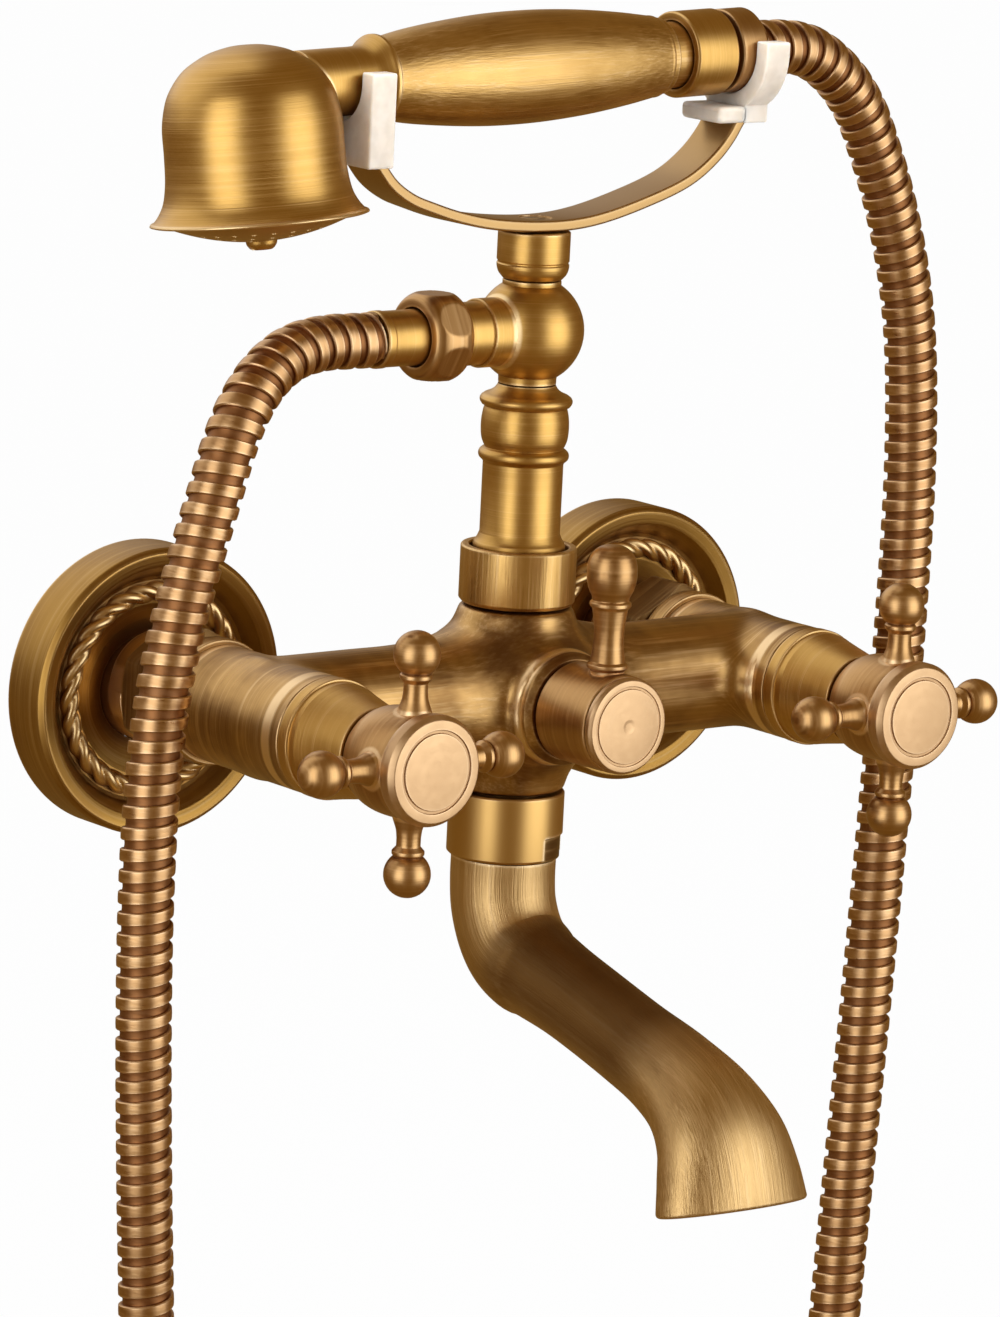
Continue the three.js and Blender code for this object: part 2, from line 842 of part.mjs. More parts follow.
// Collar nut that clamps the riser, with an open rim round the riser's base
function makeTopCollar() {
  const bottom = body.topFace + clearance;
  const inner = riser.radius + clearance;
  const shelf = topCollar.top - topCollar.recessDepth;
  return join(hollow([
    [inner, bottom], [topCollar.radius - topCollar.edge, bottom], [topCollar.radius, bottom + topCollar.edge],
    [topCollar.radius, topCollar.top], [topCollar.recessRadius, topCollar.top],
    [topCollar.recessRadius, shelf], [inner, shelf],
  ], sides.large));
}

// Riser: a turned and bored column, with a groove for its seal
function makeRiser() {
  const seat = body.topFace + clearance;
  const foot = seat - riser.spigotLength;
  const groove = riser.spigotRadius - riserRing.grooveDepth;
  const bead = (riser.baseBeadBottom + riser.baseBeadTop) / 2;
  const beadEdge = (riser.baseBeadRadius + riser.radius) / 2;
  return join(hollow([
    [riser.boreRadius, foot], [riser.spigotRadius, foot],
    [riser.spigotRadius, riserRing.height - riserRing.grooveHalf],
    [groove, riserRing.height - riserRing.grooveHalf],
    [groove, riserRing.height + riserRing.grooveHalf],
    [riser.spigotRadius, riserRing.height + riserRing.grooveHalf],
    [riser.spigotRadius, seat], [riser.radius, seat], [riser.radius, riser.baseBeadBottom],
    [riser.baseBeadRadius, riser.baseBeadBottom], [riser.baseBeadRadius, bead],
    [beadEdge, riser.baseBeadTop], [riser.radius, riser.baseBeadTop + riser.ringHalf],
    [riser.radius, riser.ringHeight - riser.ringHalf], [riser.ringRadius, riser.ringHeight],
    [riser.radius, riser.ringHeight + riser.ringHalf],
    [riser.barrelRadius, riser.ringHeight + 2 * riser.ringHalf], [riser.barrelRadius, riser.barrelTop],
    [riser.lipRadius, riser.lipHeight], [riser.neckRadius * 1.2, riser.top - riser.ringHalf],
    [riser.neckRadius, riser.top], [riser.tailRadius, riser.top],
    [riser.tailRadius, riser.top + riser.tailLength], [riser.tailBore, riser.top + riser.tailLength],
    [riser.tailBore, riser.lipHeight], [riser.boreRadius, riser.lipHeight - riser.ringHalf],
  ], sides.medium));
}

function makeSealRing(outer, inner, height, half) {
  const middle = (outer + inner) / 2;
  return join(hollow([
    [inner, height], [middle, height - half], [outer, height], [middle, height + half],
  ], sides.medium));
}

// Ball with its riser socket, its outlet to the left and the socket for the post
function makeBall() {
  const bottom = riser.top + clearance;
  const neckAngle = THREE.MathUtils.radToDeg(Math.asin(riser.neckRadius / ball.radius));
  const sphere = turned([
    [0, bottom], [riser.neckRadius, bottom],
    ...ballArc(ball.radius, ball.height, neckAngle - 90, 90 - neckAngle, 8),
    [ball.topRingRadius, ball.top], [0, ball.top],
  ], sides.large).translate(0, -columnReach, 0);
  const outlet = turned([
    [0, 0], [ball.outletRadius, 0], [ball.outletRadius, ball.outletStep],
    [ball.outletStepRadius, ball.outletStep], [ball.outletStepRadius, ball.outletEnd], [0, ball.outletEnd],
  ], sides.medium, 'left').translate(0, -columnReach, ball.height);
  const seatTop = ball.top - post.studLength - clearance;
  return cut(
    join(sphere, outlet),
    rod(ball.waterwayRadius, bottom - overrun, ball.height, sides.medium).translate(0, -columnReach, 0),
    rod(ball.waterwayRadius, 0, ball.outletEnd + overrun, sides.medium, 'left')
      .translate(0, -columnReach, ball.height),
    rod(post.studRadius + clearance, seatTop, ball.top + overrun, sides.medium).translate(0, -columnReach, 0),
  );
}

function makePost() {
  const bottom = ball.top + clearance;
  const tap = cradleScrew.shankRadius + clearance;
  const tapBottom = post.top - cradleScrew.shankLength;
  return join(turned([
    [0, bottom - post.studLength], [post.studRadius, bottom - post.studLength], [post.studRadius, bottom],
    [post.footRadius, bottom], [post.radius, bottom + post.footLength], [post.radius, post.top],
    [tap, post.top], [tap, tapBottom], [0, tapBottom],
  ], sides.medium));
}

function makeCradleScrew() {
  const bottom = post.top + clearance;
  const tip = post.top - cradleScrew.shankLength + clearance;
  const { headRadius, headLength, shankRadius } = cradleScrew;
  const top = bottom + strap.thickness - cradleScrew.sink;
  return join(turned([
    [0, tip], [shankRadius, tip], [shankRadius, top - headLength], [headRadius, top], [0, top],
  ], sides.medium));
}

// Nut, washer and ferrule that hold the hose on the ball's outlet
function makeOutletNut() {
  const end = outletNut.back + outletNut.length;
  const lip = end - outletNut.lip;
  return cut(
    hexagon(outletNut.acrossFlats, outletNut.back, end, outletNut.chamfer, 'left'),
    rod(ferrule.radius + clearance, outletNut.back, end + overrun, sides.medium, 'left'),
    rod(ferrule.collarRadius + clearance, outletNut.back - overrun, lip, sides.medium, 'left'),
  );
}

const outletWasherStart = ball.outletEnd + clearance;
const ferruleStart = outletWasherStart + outletWasherThickness + clearance;

function makeFerrule() {
  return join(hollow([
    [ferrule.boreRadius, ferruleStart], [ferrule.collarRadius, ferruleStart],
    [ferrule.collarRadius, ferruleStart + ferrule.collarLength],
    [ferrule.radius, ferruleStart + ferrule.collarLength], [ferrule.radius, ferrule.end],
    [ferrule.boreRadius, ferrule.end],
  ], sides.medium, 'left'));
}

// Sector of a ring, in degrees from the right, turning towards the front
function ringSector(inner, outer, fromDegrees, toDegrees, bottom, top) {
  const [from, to] = [fromDegrees, toDegrees].map(THREE.MathUtils.degToRad);
  const shape = new THREE.Shape();
  shape.absarc(0, 0, outer, -from, -to, true);
  shape.absarc(0, 0, inner, -to, -from, false);
  const depth = top - bottom;
  return new THREE.ExtrudeGeometry(shape, { depth, bevelEnabled: false, curveSegments: 8 })
    .translate(0, -columnReach, bottom);
}

// Spout collar: its lip hangs on the stub's flange and its skirt is screwed on the spout
function makeSpoutCollar() {
  const top = body.bottomFace - clearance;
  const lipBottom = body.bottomFace - body.stubLength + clearance;
  const neck = body.stubRadius + clearance;
  const { radius, bottom, edge, wall } = spoutCollar;
  return cut(
    join(hollow([
      [radius - wall, bottom], [radius - edge, bottom], [radius, bottom + edge], [radius, top],
      [neck, top], [neck, lipBottom], [radius - wall, lipBottom],
    ], sides.large).translate(0, -columnReach, 0)),
    ringSector(
      radius - wall - edge, radius + overrun, spoutCollar.notchStart, spoutCollar.notchEnd,
      bottom - overrun, bottom + spoutCollar.notchHeight,
    ),
  );
}

const spoutTop = spoutCollar.bottom - clearance;

// Reads a table of shares at one share of the length
function readShares(table, share) {
  const next = Math.max(1, table.findIndex(([at]) => at >= share));
  const [before, after] = [table[next - 1], table[next]];
  const blend = (share - before[0]) / (after[0] - before[0]);
  return after.map((value, i) => THREE.MathUtils.lerp(before[i], value, blend));
}

// Half width and half depth of the spout at a share of its length, as multiples of the pipe's radius
function spoutSize(share) {
  const [, head, mouth] = readShares(spoutSizeShares, share);
  const pipeRadius = spout.pipeRadius;
  const top = head * (spout.topRadius - pipeRadius);
  const width = pipeRadius + top + mouth * (spout.mouthHalfWidth - pipeRadius);
  const depth = pipeRadius + top + mouth * (spout.mouthHalfDepth - pipeRadius);
  return [width / pipeRadius, depth / pipeRadius];
}

// Swan-neck pipe with its wide mouth
function makeSpoutPipe() {
  const line = new THREE.CatmullRomCurve3(spoutLineShares.map(([out, down]) => (
    new THREE.Vector3(0, -columnReach - out * spout.reach, spoutTop - down * spout.drop)
  )), false, 'centripetal');
  const length = line.getLength();
  const outer = [];
  const inner = [];
  for (let i = 0; i <= spout.steps; i += 1) {
    outer.push([spout.pipeRadius, length * i / spout.steps]);
    inner.unshift([spout.pipeRadius - spout.wall, length * i / spout.steps]);
  }
  return layAlong(hollow([...outer, ...inner], sides.medium), line, length, sideDirection, spoutSize);
}

// Spout: the pipe, the spigot inside the collar and the key in the collar's notch
function makeSpout() {
  const bore = (spout.pipeRadius - spout.wall) * spout.topRadius / spout.pipeRadius;
  const spigotRadius = spoutCollar.radius - spoutCollar.wall - clearance;
  const spigot = pipe(spigotRadius, bore, spoutTop - spout.wall, stubBottom - clearance, sides.large)
    .translate(0, -columnReach, 0);
  const key = ringSector(
    spigotRadius - spoutCollar.edge, spoutCollar.radius - clearance,
    spoutCollar.notchStart + spout.keyGapAngle, spoutCollar.notchEnd - spout.keyGapAngle,
    spoutCollar.bottom, spoutCollar.bottom + spoutCollar.notchHeight - clearance,
  );
  return join(makeSpoutPipe(), spigot, key);
}

const bellLean = -THREE.MathUtils.degToRad(bell.lean);

// Share of the bell's height, and how far its radius has gone from the waist to the rim
const bellFlareShares = [[0, 1], [0.045, 0.62], [0.127, 0.25], [0.24, 0.06], [0.4, 0], [0.56, -0.01]];

// Share of the bell's height and share of its waist radius over the crown
const bellCrownShares = [[0.74, 0.915], [0.88, 0.715], [0.967, 0.42]];

// Hand shower: bell and neck in one casting
function makeBell() {
  const { rimRadius, waistRadius, height, wall, seatDepth } = bell;
  const place = (geometry) => geometry.rotateY(bellLean).translate(-bell.offset, 0, -bell.drop);
  const seat = bell.seatRadius + clearance;
  const inner = waistRadius - wall;
  const shell = turned([
    [0, 0], ...bellFlareShares.map(([up, out]) => [
      THREE.MathUtils.lerp(waistRadius, rimRadius, out), up * height,
    ]),
    ...bellCrownShares.map(([up, share]) => [share * waistRadius, up * height]), [0, height],
  ], sides.large);
  const room = turned([
    [0, -overrun], [seat, -overrun], [seat, seatDepth], [inner, seatDepth], [inner, height * 0.55],
    ...bellCrownShares.slice(0, 2).map(([up, share]) => [share * waistRadius - wall, up * height - wall]),
    [0, height - wall],
  ], sides.large);
  const neckStart = -bell.offset + waistRadius * 0.6;
  const neckEnd = handset.flareEnd + handset.spigotLength;
  const flareMiddle = (handset.flareStart + handset.flareEnd) / 2;
  const neck = turned([
    [0, neckStart], [handset.neckRadius, neckStart], [handset.neckRadius, handset.flareStart],
    [THREE.MathUtils.lerp(handset.neckRadius, handset.flareRadius, 0.35), flareMiddle],
    [handset.flareRadius, handset.flareEnd - handset.flareLip], [handset.flareRadius, handset.flareEnd],
    [handset.spigotRadius, handset.flareEnd], [handset.spigotRadius, neckEnd], [0, neckEnd],
  ], sides.medium, 'right');
  const bore = rod(handset.neckBore, neckStart - overrun, neckEnd + overrun, sides.small, 'right');
  return cut(join(place(shell), neck), place(room), bore);
}

// Domed spray plate that closes the bell, with its centre screw
function makeSprayPlate() {
  const radius = bell.seatRadius;
  const top = bell.seatDepth - clearance;
  const { dome, thickness, screwHole } = sprayPlate;
  const arc = [1, 0.75, 0.4].map((share) => [radius * share, -dome * (1 - share * share)]);
  return join(hollow([
    [radius, top], ...arc, [screwHole, -dome], [screwHole, thickness - dome],
    ...arc.slice(1).reverse().map(([r, z]) => [r, z + thickness]), [radius - thickness, top],
  ], sides.large));
}

function makeSprayScrew() {
  const seat = -sprayPlate.dome - clearance;
  return join(turned([
    [0, seat - sprayScrew.headLength], [sprayScrew.headRadius * 0.7, seat - sprayScrew.headLength],
    [sprayScrew.headRadius, seat - sprayScrew.headLength * 0.6], [sprayScrew.headRadius, seat],
    [sprayScrew.shankRadius, seat], [sprayScrew.shankRadius, seat + sprayScrew.shankLength],
    [0, seat + sprayScrew.shankLength],
  ], sides.small));
}

// Grip: a swelling handle whose tail carries the sleeve and the hose thread
function makeGrip() {
  const start = handset.flareEnd + clearance;
  const belly = (share) => THREE.MathUtils.lerp(grip.leftRadius, grip.bellyRadius, share);
  const taper = (share) => THREE.MathUtils.lerp(grip.rightRadius, grip.bellyRadius, share);
  const at = (share) => THREE.MathUtils.lerp(start, grip.bellyAt, share);
  const after = (share) => THREE.MathUtils.lerp(grip.end, grip.bellyAt, share);
  const socket = handset.spigotRadius + clearance;
  const socketEnd = handset.flareEnd + handset.spigotLength + clearance;
  return join(hollow([
    [socket, start], [grip.leftRadius, start], [belly(0.38), at(0.22)], [belly(0.72), at(0.5)],
    [belly(0.94), at(0.78)], [grip.bellyRadius, grip.bellyAt], [taper(0.96), after(0.78)],
    [taper(0.76), after(0.5)], [taper(0.4), after(0.22)], [taper(0.16), after(0.08)],
    [grip.rightRadius, grip.end], [grip.beadRadius, grip.end],
    [grip.beadRadius, grip.end + grip.beadLength],
    [grip.tailRadius, grip.end + grip.beadLength], [grip.tailRadius, grip.tailEnd],
    [grip.inletRadius, grip.tailEnd], [grip.inletRadius, grip.inletEnd],
    [grip.inletBore, grip.inletEnd], [grip.inletBore, grip.tailEnd], [grip.bore, grip.tailEnd],
    [grip.bore, socketEnd], [socket, socketEnd],
  ], sides.medium, 'right'));
}

function makeGripSleeve() {
  const inner = grip.tailRadius + clearance;
  const { radius, start, end, edge } = gripSleeve;
  return join(hollow([
    [inner, start], [radius - edge, start], [radius, start + edge], [radius, end - edge],
    [radius - edge, end], [inner, end],
  ], sides.medium, 'right'));
}

const hoseWasherStart = grip.inletEnd + clearance;
const hoseWebStart = hoseWasherStart + hoseWasherThickness + clearance;
const hoseNutFloor = hoseWebStart + hoseNut.web;

// Nut on the hose, threaded on the grip's tail; the hose ends in its front recess
function makeHoseNut() {
  const threadBore = grip.inletRadius + clearance;
  const recess = hose.radius + hoseNut.recessGap;
  return join(hollow([
    [threadBore, hoseNut.start], [hoseNut.radius, hoseNut.start],
    [hoseNut.radius, hoseNut.end - hoseNut.shoulder], [hoseNut.endRadius, hoseNut.end],
    [recess, hoseNut.end], [recess, hoseNutFloor], [hoseNut.hole, hoseNutFloor],
    [hoseNut.hole, hoseWebStart], [threadBore, hoseWebStart],
  ], sides.medium, 'right'));
}

function makeHoseWasher() {
  return join(pipe(
    grip.inletRadius, grip.inletBore, hoseWasherStart, hoseWasherStart + hoseWasherThickness,
    sides.medium, 'right',
  ));
}

// Strap arms as shares of the run to a fork and of the rise to it
const leftArmShares = [
  [0, 0], [0.3, 0.05], [0.48, 0.135], [0.62, 0.235], [0.73, 0.33], [0.83, 0.48], [0.905, 0.68],
  [0.955, 0.84], [1, 1],
];
const rightArmShares = [
  [0, 0], [0.21, 0.03], [0.46, 0.16], [0.7, 0.35], [0.83, 0.55], [0.9, 0.72], [0.932, 0.83],
  [0.962, 0.92], [1, 1],
];

function forkRadius(outerRadius, innerRadius) {
  return (outerRadius + innerRadius) / 2;
}

const saddles = {
  left: {
    x: saddle.leftX,
    inner: seatRadius(saddle.leftX + saddle.length / 2),
    outer: saddle.leftOuterRadius,
  },
  right: {
    x: saddle.rightX,
    inner: hoseNut.radius + saddle.seatGap,
    outer: saddle.rightOuterRadius,
  },
};

// Radius of the neck's flare where the left saddle ends, with the seat's gap
function seatRadius(x) {
  const share = (x - handset.flareStart) / (handset.flareEnd - handset.flareLip - handset.flareStart);
  return THREE.MathUtils.lerp(handset.neckRadius, handset.flareRadius, Math.max(0, share)) + saddle.seatGap;
}

// Closed ribbon round a line in the XZ plane, as thick as asked, extruded to its width
function ribbon(line, thickness, width) {
  const left = [];
  const right = [];
  for (let i = 0; i <= strap.steps; i += 1) {
    const point = line.getPointAt(i / strap.steps);
    const tangent = line.getTangentAt(i / strap.steps);
    const [acrossX, acrossZ] = [tangent.z * thickness / 2, tangent.x * thickness / 2];
    left.push(new THREE.Vector2(point.x - acrossX, point.z + acrossZ));
    right.unshift(new THREE.Vector2(point.x + acrossX, point.z - acrossZ));
  }
  const shape = new THREE.Shape([...left, ...right]);
  return new THREE.ExtrudeGeometry(shape, { depth: width, bevelEnabled: false })
    .translate(0, 0, -width / 2).rotateX(Math.PI / 2).translate(0, -columnReach, 0);
}

// Half ring with two upright prongs, open at the top, seen along X
function forkShape(inner, outer, rise) {
  const shape = new THREE.Shape();
  shape.moveTo(outer, rise);
  shape.lineTo(inner, rise);
  shape.absarc(0, 0, inner, 0, -Math.PI, true);
  shape.lineTo(-inner, rise);
  shape.lineTo(-outer, rise);
  shape.absarc(0, 0, outer, -Math.PI, 0, false);
  return shape;
}

// Extrudes a shape drawn in the YZ plane along X, centred on a height
function alongX(shape, x, length) {
  return new THREE.ExtrudeGeometry(shape, { depth: length, bevelEnabled: false, curveSegments: 8 })
    .rotateX(Math.PI / 2).rotateZ(Math.PI / 2)
    .translate(x - length / 2, -columnReach, axisHeight(x));
}

// Strap and forks; grown by a gap it also cuts the pockets in the saddles
function makeCradle(gap) {
  const base = post.top + clearance + strap.thickness / 2;
  const arm = (shares, x, radius) => shares.map(([run, rise]) => (
    new THREE.Vector3(run * x, 0, base + rise * (axisHeight(x) - radius - base))
  ));
  const radii = [saddles.left, saddles.right].map(({ outer, inner }) => forkRadius(outer, inner));
  const leftArm = arm(leftArmShares, saddles.left.x, radii[0]);
  const rightArm = arm(rightArmShares, saddles.right.x, radii[1]);
  const line = new THREE.CatmullRomCurve3([...leftArm.reverse(), ...rightArm.slice(1)], false, 'centripetal');
  const half = strap.forkThickness / 2 + gap;
  const forks = [saddles.left, saddles.right].map(({ x }, i) => alongX(
    forkShape(radii[i] - half, radii[i] + half, saddle.rise / 3 + gap), x, strap.forkLength + 2 * gap,
  ));
  return join(ribbon(line, strap.thickness + 2 * gap, strap.width + 2 * gap), ...forks);
}

function makeStrap() {
  const bottom = post.top + clearance;
  const top = bottom + strap.thickness;
  const hole = cradleScrew.shankRadius + clearance;
  const sink = cradleScrew.headRadius + clearance;
  return cut(makeCradle(0), turned([
    [0, bottom - overrun], [hole, bottom - overrun], [hole, top - cradleScrew.sink - cradleScrew.headLength],
    [sink, top - cradleScrew.sink], [sink, top + overrun], [0, top + overrun],
  ], sides.medium).translate(0, -columnReach, 0));
}

// Shelf of the right saddle, reaching from its foot towards the column, round the strap
function makeShelf() {
  const { rightX, length, rightFoot, rightBottom, shelfReach, shelfHeight } = saddle;
  const reach = shelfReach + length / 2;
  return new THREE.BoxGeometry(reach, 2 * rightFoot, shelfHeight)
    .translate(rightX - reach / 2, -columnReach, rightBottom + shelfHeight / 2);
}

// Plastic saddle moulded round a fork
function makeSaddle({ x, inner, outer }, bottom, foot, ...extras) {
  const low = bottom - axisHeight(x);
  const shape = new THREE.Shape();
  shape.moveTo(outer, saddle.rise);
  shape.lineTo(inner, saddle.rise);
  shape.absarc(0, 0, inner, 0, -Math.PI, true);
  shape.lineTo(-inner, saddle.rise);
  shape.lineTo(-outer, saddle.rise);
  if (foot < outer) {
    const footAngle = Math.acos(foot / outer);
    shape.absarc(0, 0, outer, -Math.PI, -Math.PI + footAngle, false);
    shape.lineTo(-foot, low);
    shape.lineTo(foot, low);
    shape.absarc(0, 0, outer, -footAngle, 0, false);
  } else {
    shape.lineTo(-outer, low + saddle.seatGap);
    shape.lineTo(-outer + saddle.seatGap, low);
    shape.lineTo(outer - saddle.seatGap, low);
    shape.lineTo(outer, low + saddle.seatGap);
  }
  return join(alongX(shape, x, saddle.length), ...extras).subtract(makeCradle(saddle.pocketClearance));
}

// Hose: bands and grooves outside and a bore inside, laid along its route
function makeHose() {
  const points = hosePoints.map((place) => new THREE.Vector3(...place));
  const route = new THREE.CatmullRomCurve3(points, false, 'centripetal');
  route.arcLengthDivisions = 4000;
  const length = route.getLength();
  const pitch = length / hose.ribs;
  const profile = [];
  for (let i = 0; i < hose.ribs; i += 1) {
    profile.push([hose.radius, i * pitch], [hose.grooveRadius, (i + hose.bandShare) * pitch]);
  }
  profile.push([hose.radius, length]);
  for (let i = hose.ribs; i >= 0; i -= 1) {
    const nearEnd = Math.min(i, hose.ribs - i) < hose.endRibs;
    if (nearEnd || i % hose.ribsPerBoreRing === 0) profile.push([hose.boreRadius, i * pitch]);
  }
  console.log(`hose length ${length.toFixed(1)} mm`);
  console.log(`tightest bend of the hose ${tightestBend(route, length).toFixed(1)} mm`);
  console.log(`least gap of the hose to itself ${leastGap(route, length).toFixed(1)} mm`);
  return weld(layAlong(hollow(profile, hose.sides), route, length, depthDirection, () => [1, 1]));
}

// Smallest radius of a curve, from the turn of its tangent over short steps
function tightestBend(route, length) {
  const steps = 600;
  let sharpest = 0;
  for (let i = 1; i < steps - 1; i += 1) {
    const turn = route.getTangentAt(i / steps).angleTo(route.getTangentAt((i + 1) / steps));
    sharpest = Math.max(sharpest, turn);
  }
  return length / steps / sharpest;
}

// Least distance between stretches of the hose that are not neighbours, less its diameter
function leastGap(route, length) {
  const steps = 400;
  const apart = Math.ceil(4 * 2 * hose.radius * steps / length);
  const points = Array.from({ length: steps + 1 }, (_, i) => route.getPointAt(i / steps));
  let least = Infinity;
  for (let i = 0; i <= steps; i += 1) {
    for (let j = i + apart; j <= steps; j += 1) least = Math.min(least, points[i].distanceTo(points[j]));
  }
  return least - 2 * hose.radius;
}

// Both sides of the faucet, from the wall to the handle cap
for (const [name, side] of [['left', -1], ['right', 1]]) {
  const supply = [side * valveX, 0, -supplyDrop];
  const valve = [side * valveX, 0, 0];
  addPiece(`${name}_wall_flange`, makeFlange(), 'brass', supply);
  addPiece(`${name}_eccentric_union`, makeUnion(), 'brass', supply);
  addPiece(`${name}_union_nut`, makeUnionNut(), 'darkBrass', valve);
  addPiece(`${name}_union_washer`, makeUnionWasher(), 'rubber', valve);
  addPiece(`${name}_ceramic_cartridge`, makeCartridge(true), 'ceramicBody', valve);
  addPiece(`${name}_valve_bonnet`, makeBonnet(), 'brass', valve);
  addPiece(`${name}_valve_spindle`, makeSpindle(spindleTip), 'ceramicBody', valve);
  addPiece(`${name}_cross_handle`, makeCross(), 'brass', valve);
  addPiece(`${name}_handle_screw`, makeHandleScrew(hubFront - cross.recessDepth), 'steel', valve);
  const cap = makeCap(handleCap, hubFront, cross.recessRadius, cross.recessDepth);
  addPiece(`${name}_handle_cap`, cap, 'capBrass', valve);
}

addPiece('faucet_body', makeBody(), 'brass');

// Diverter on the front of the body
addPiece('diverter_cartridge', makeCartridge(false), 'ceramicBody');
addPiece('diverter_spindle', makeSpindle(leverWebBack - clearance), 'ceramicBody');
addPiece('diverter_lever', makeDiverterLever(), 'brass');
addPiece('diverter_screw', makeHandleScrew(leverHubFront - diverter.recessDepth), 'steel');
const diverterDisc = makeCap(diverterCap, leverHubFront, diverter.recessRadius, diverter.recessDepth);
addPiece('diverter_cap', diverterDisc, 'capBrass');

// Column, ball and cradle
const column = [0, -columnReach, 0];
addPiece('top_collar_nut', makeTopCollar(), 'brass', column);
addPiece('riser_column', makeRiser(), 'brass', column);
addPiece('riser_seal_ring', makeSealRing(
  riser.spigotRadius, riser.spigotRadius - riserRing.grooveDepth + clearance,
  riserRing.height, riserRing.grooveHalf - clearance,
), 'rubber', column);
addPiece('ball_outlet_tee', makeBall(), 'brass');
addPiece('cradle_post', makePost(), 'brass', column);
addPiece('cradle_strap', makeStrap(), 'brass');
addPiece('cradle_screw', makeCradleScrew(), 'steel', column);
addPiece('left_saddle', makeSaddle(saddles.left, saddle.leftBottom, saddles.left.outer), 'plastic');
const rightSaddle = makeSaddle(saddles.right, saddle.rightBottom, saddle.rightFoot, makeShelf());
addPiece('right_saddle', rightSaddle, 'plastic');

// Hose connection
const outlet = [0, -columnReach, ball.height];
addPiece('hose_outlet_nut', makeOutletNut(), 'brass', outlet);
addPiece('hose_outlet_washer', join(pipe(
  ferrule.collarRadius, ferrule.boreRadius, outletWasherStart, outletWasherStart + outletWasherThickness,
  sides.medium, 'left',
)), 'rubber', outlet);
addPiece('hose_ferrule', makeFerrule(), 'brass', outlet);
addPiece('shower_hose', makeHose(), 'hoseBrass');

// Spout, hung on the body's stub
addPiece('spout_collar', makeSpoutCollar(), 'brass');
addPiece('bath_spout', makeSpout(), 'brass');
addPiece('spout_seal_ring', makeSealRing(
  body.stubFlangeRadius, body.stubFlangeRadius - stubRing.grooveDepth + clearance,
  stubBottom + body.stubFlangeLength / 2, stubRing.grooveHalf - clearance,
), 'rubber', column);

// Hand shower, tilted on its cradle
const shower = new THREE.Group();
shower.position.set(0, -columnReach, handset.height);
const [showerRoll, showerTilt] = [handset.roll, handset.tilt].map(THREE.MathUtils.degToRad);
shower.rotation.set(-showerRoll, -showerTilt, 0, 'YXZ');
faucet.add(shower);
const bellGroup = new THREE.Group();
bellGroup.position.set(-bell.offset, 0, -bell.drop);
bellGroup.rotation.y = bellLean;
shower.add(bellGroup);
addPiece('handset_bell', makeBell(), 'brass', [0, 0, 0], shower);
addPiece('spray_plate', makeSprayPlate(), 'brass', [0, 0, 0], bellGroup);
addPiece('spray_plate_screw', makeSprayScrew(), 'brass', [0, 0, 0], bellGroup);
addPiece('handset_grip', makeGrip(), 'brass', [0, 0, 0], shower);
addPiece('grip_sleeve', makeGripSleeve(), 'brass', [0, 0, 0], shower);
addPiece('hose_washer', makeHoseWasher(), 'rubber', [0, 0, 0], shower);
addPiece('hose_nut', makeHoseNut(), 'brass', [0, 0, 0], shower);

export default faucet;
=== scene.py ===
import math

import bpy
import numpy as np
from mathutils import Matrix, Vector
from mathutils.geometry import tessellate_polygon


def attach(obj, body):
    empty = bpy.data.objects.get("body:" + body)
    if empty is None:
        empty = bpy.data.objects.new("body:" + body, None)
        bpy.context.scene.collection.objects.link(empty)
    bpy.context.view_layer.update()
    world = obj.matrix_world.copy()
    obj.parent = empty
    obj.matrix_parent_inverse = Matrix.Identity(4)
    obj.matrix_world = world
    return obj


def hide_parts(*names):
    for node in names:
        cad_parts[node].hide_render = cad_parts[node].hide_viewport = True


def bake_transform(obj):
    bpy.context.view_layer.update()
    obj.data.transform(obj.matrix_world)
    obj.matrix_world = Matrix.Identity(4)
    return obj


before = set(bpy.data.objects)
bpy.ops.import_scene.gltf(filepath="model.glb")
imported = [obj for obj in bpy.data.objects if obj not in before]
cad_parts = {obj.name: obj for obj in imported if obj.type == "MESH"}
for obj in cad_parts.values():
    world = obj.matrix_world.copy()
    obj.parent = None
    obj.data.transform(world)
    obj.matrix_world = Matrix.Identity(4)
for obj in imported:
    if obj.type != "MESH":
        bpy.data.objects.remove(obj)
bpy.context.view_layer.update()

mm = 0.001
sharpAngle = math.radians(38)
bumpDepth = 0.0003
print("frame loaded")

camera = {
    "azimuth": -38.275, "elevation": 11.093, "roll": 2.82, "distance": 1686.97,
    "target": (-6.007, -60, 9.293), "lens": 246.326, "sensor": 36,
}


# The camera stands at the photograph's viewing angle
def makeCamera(sizes):
    turn, rise, roll = (math.radians(sizes[k]) for k in ("azimuth", "elevation", "roll"))
    back = Vector((math.sin(turn) * math.cos(rise), -math.cos(turn) * math.cos(rise), math.sin(rise)))
    right = Vector((math.cos(turn), math.sin(turn), 0))
    up = back.cross(right)
    across = math.cos(roll) * right + math.sin(roll) * up
    above = -math.sin(roll) * right + math.cos(roll) * up
    lens = bpy.data.cameras.new("camera")
    lens.sensor_fit = "HORIZONTAL"
    lens.sensor_width = sizes["sensor"]
    lens.lens = sizes["lens"]
    lens.clip_end = 30
    made = bpy.data.objects.new("camera", lens)
    bpy.context.scene.collection.objects.link(made)
    where = (Vector(sizes["target"]) + sizes["distance"] * back) * mm
    made.matrix_world = Matrix.Translation(where) @ Matrix((across, above, back)).transposed().to_4x4()
    bpy.context.scene.camera = made
    return back


towardsCamera = makeCamera(camera)


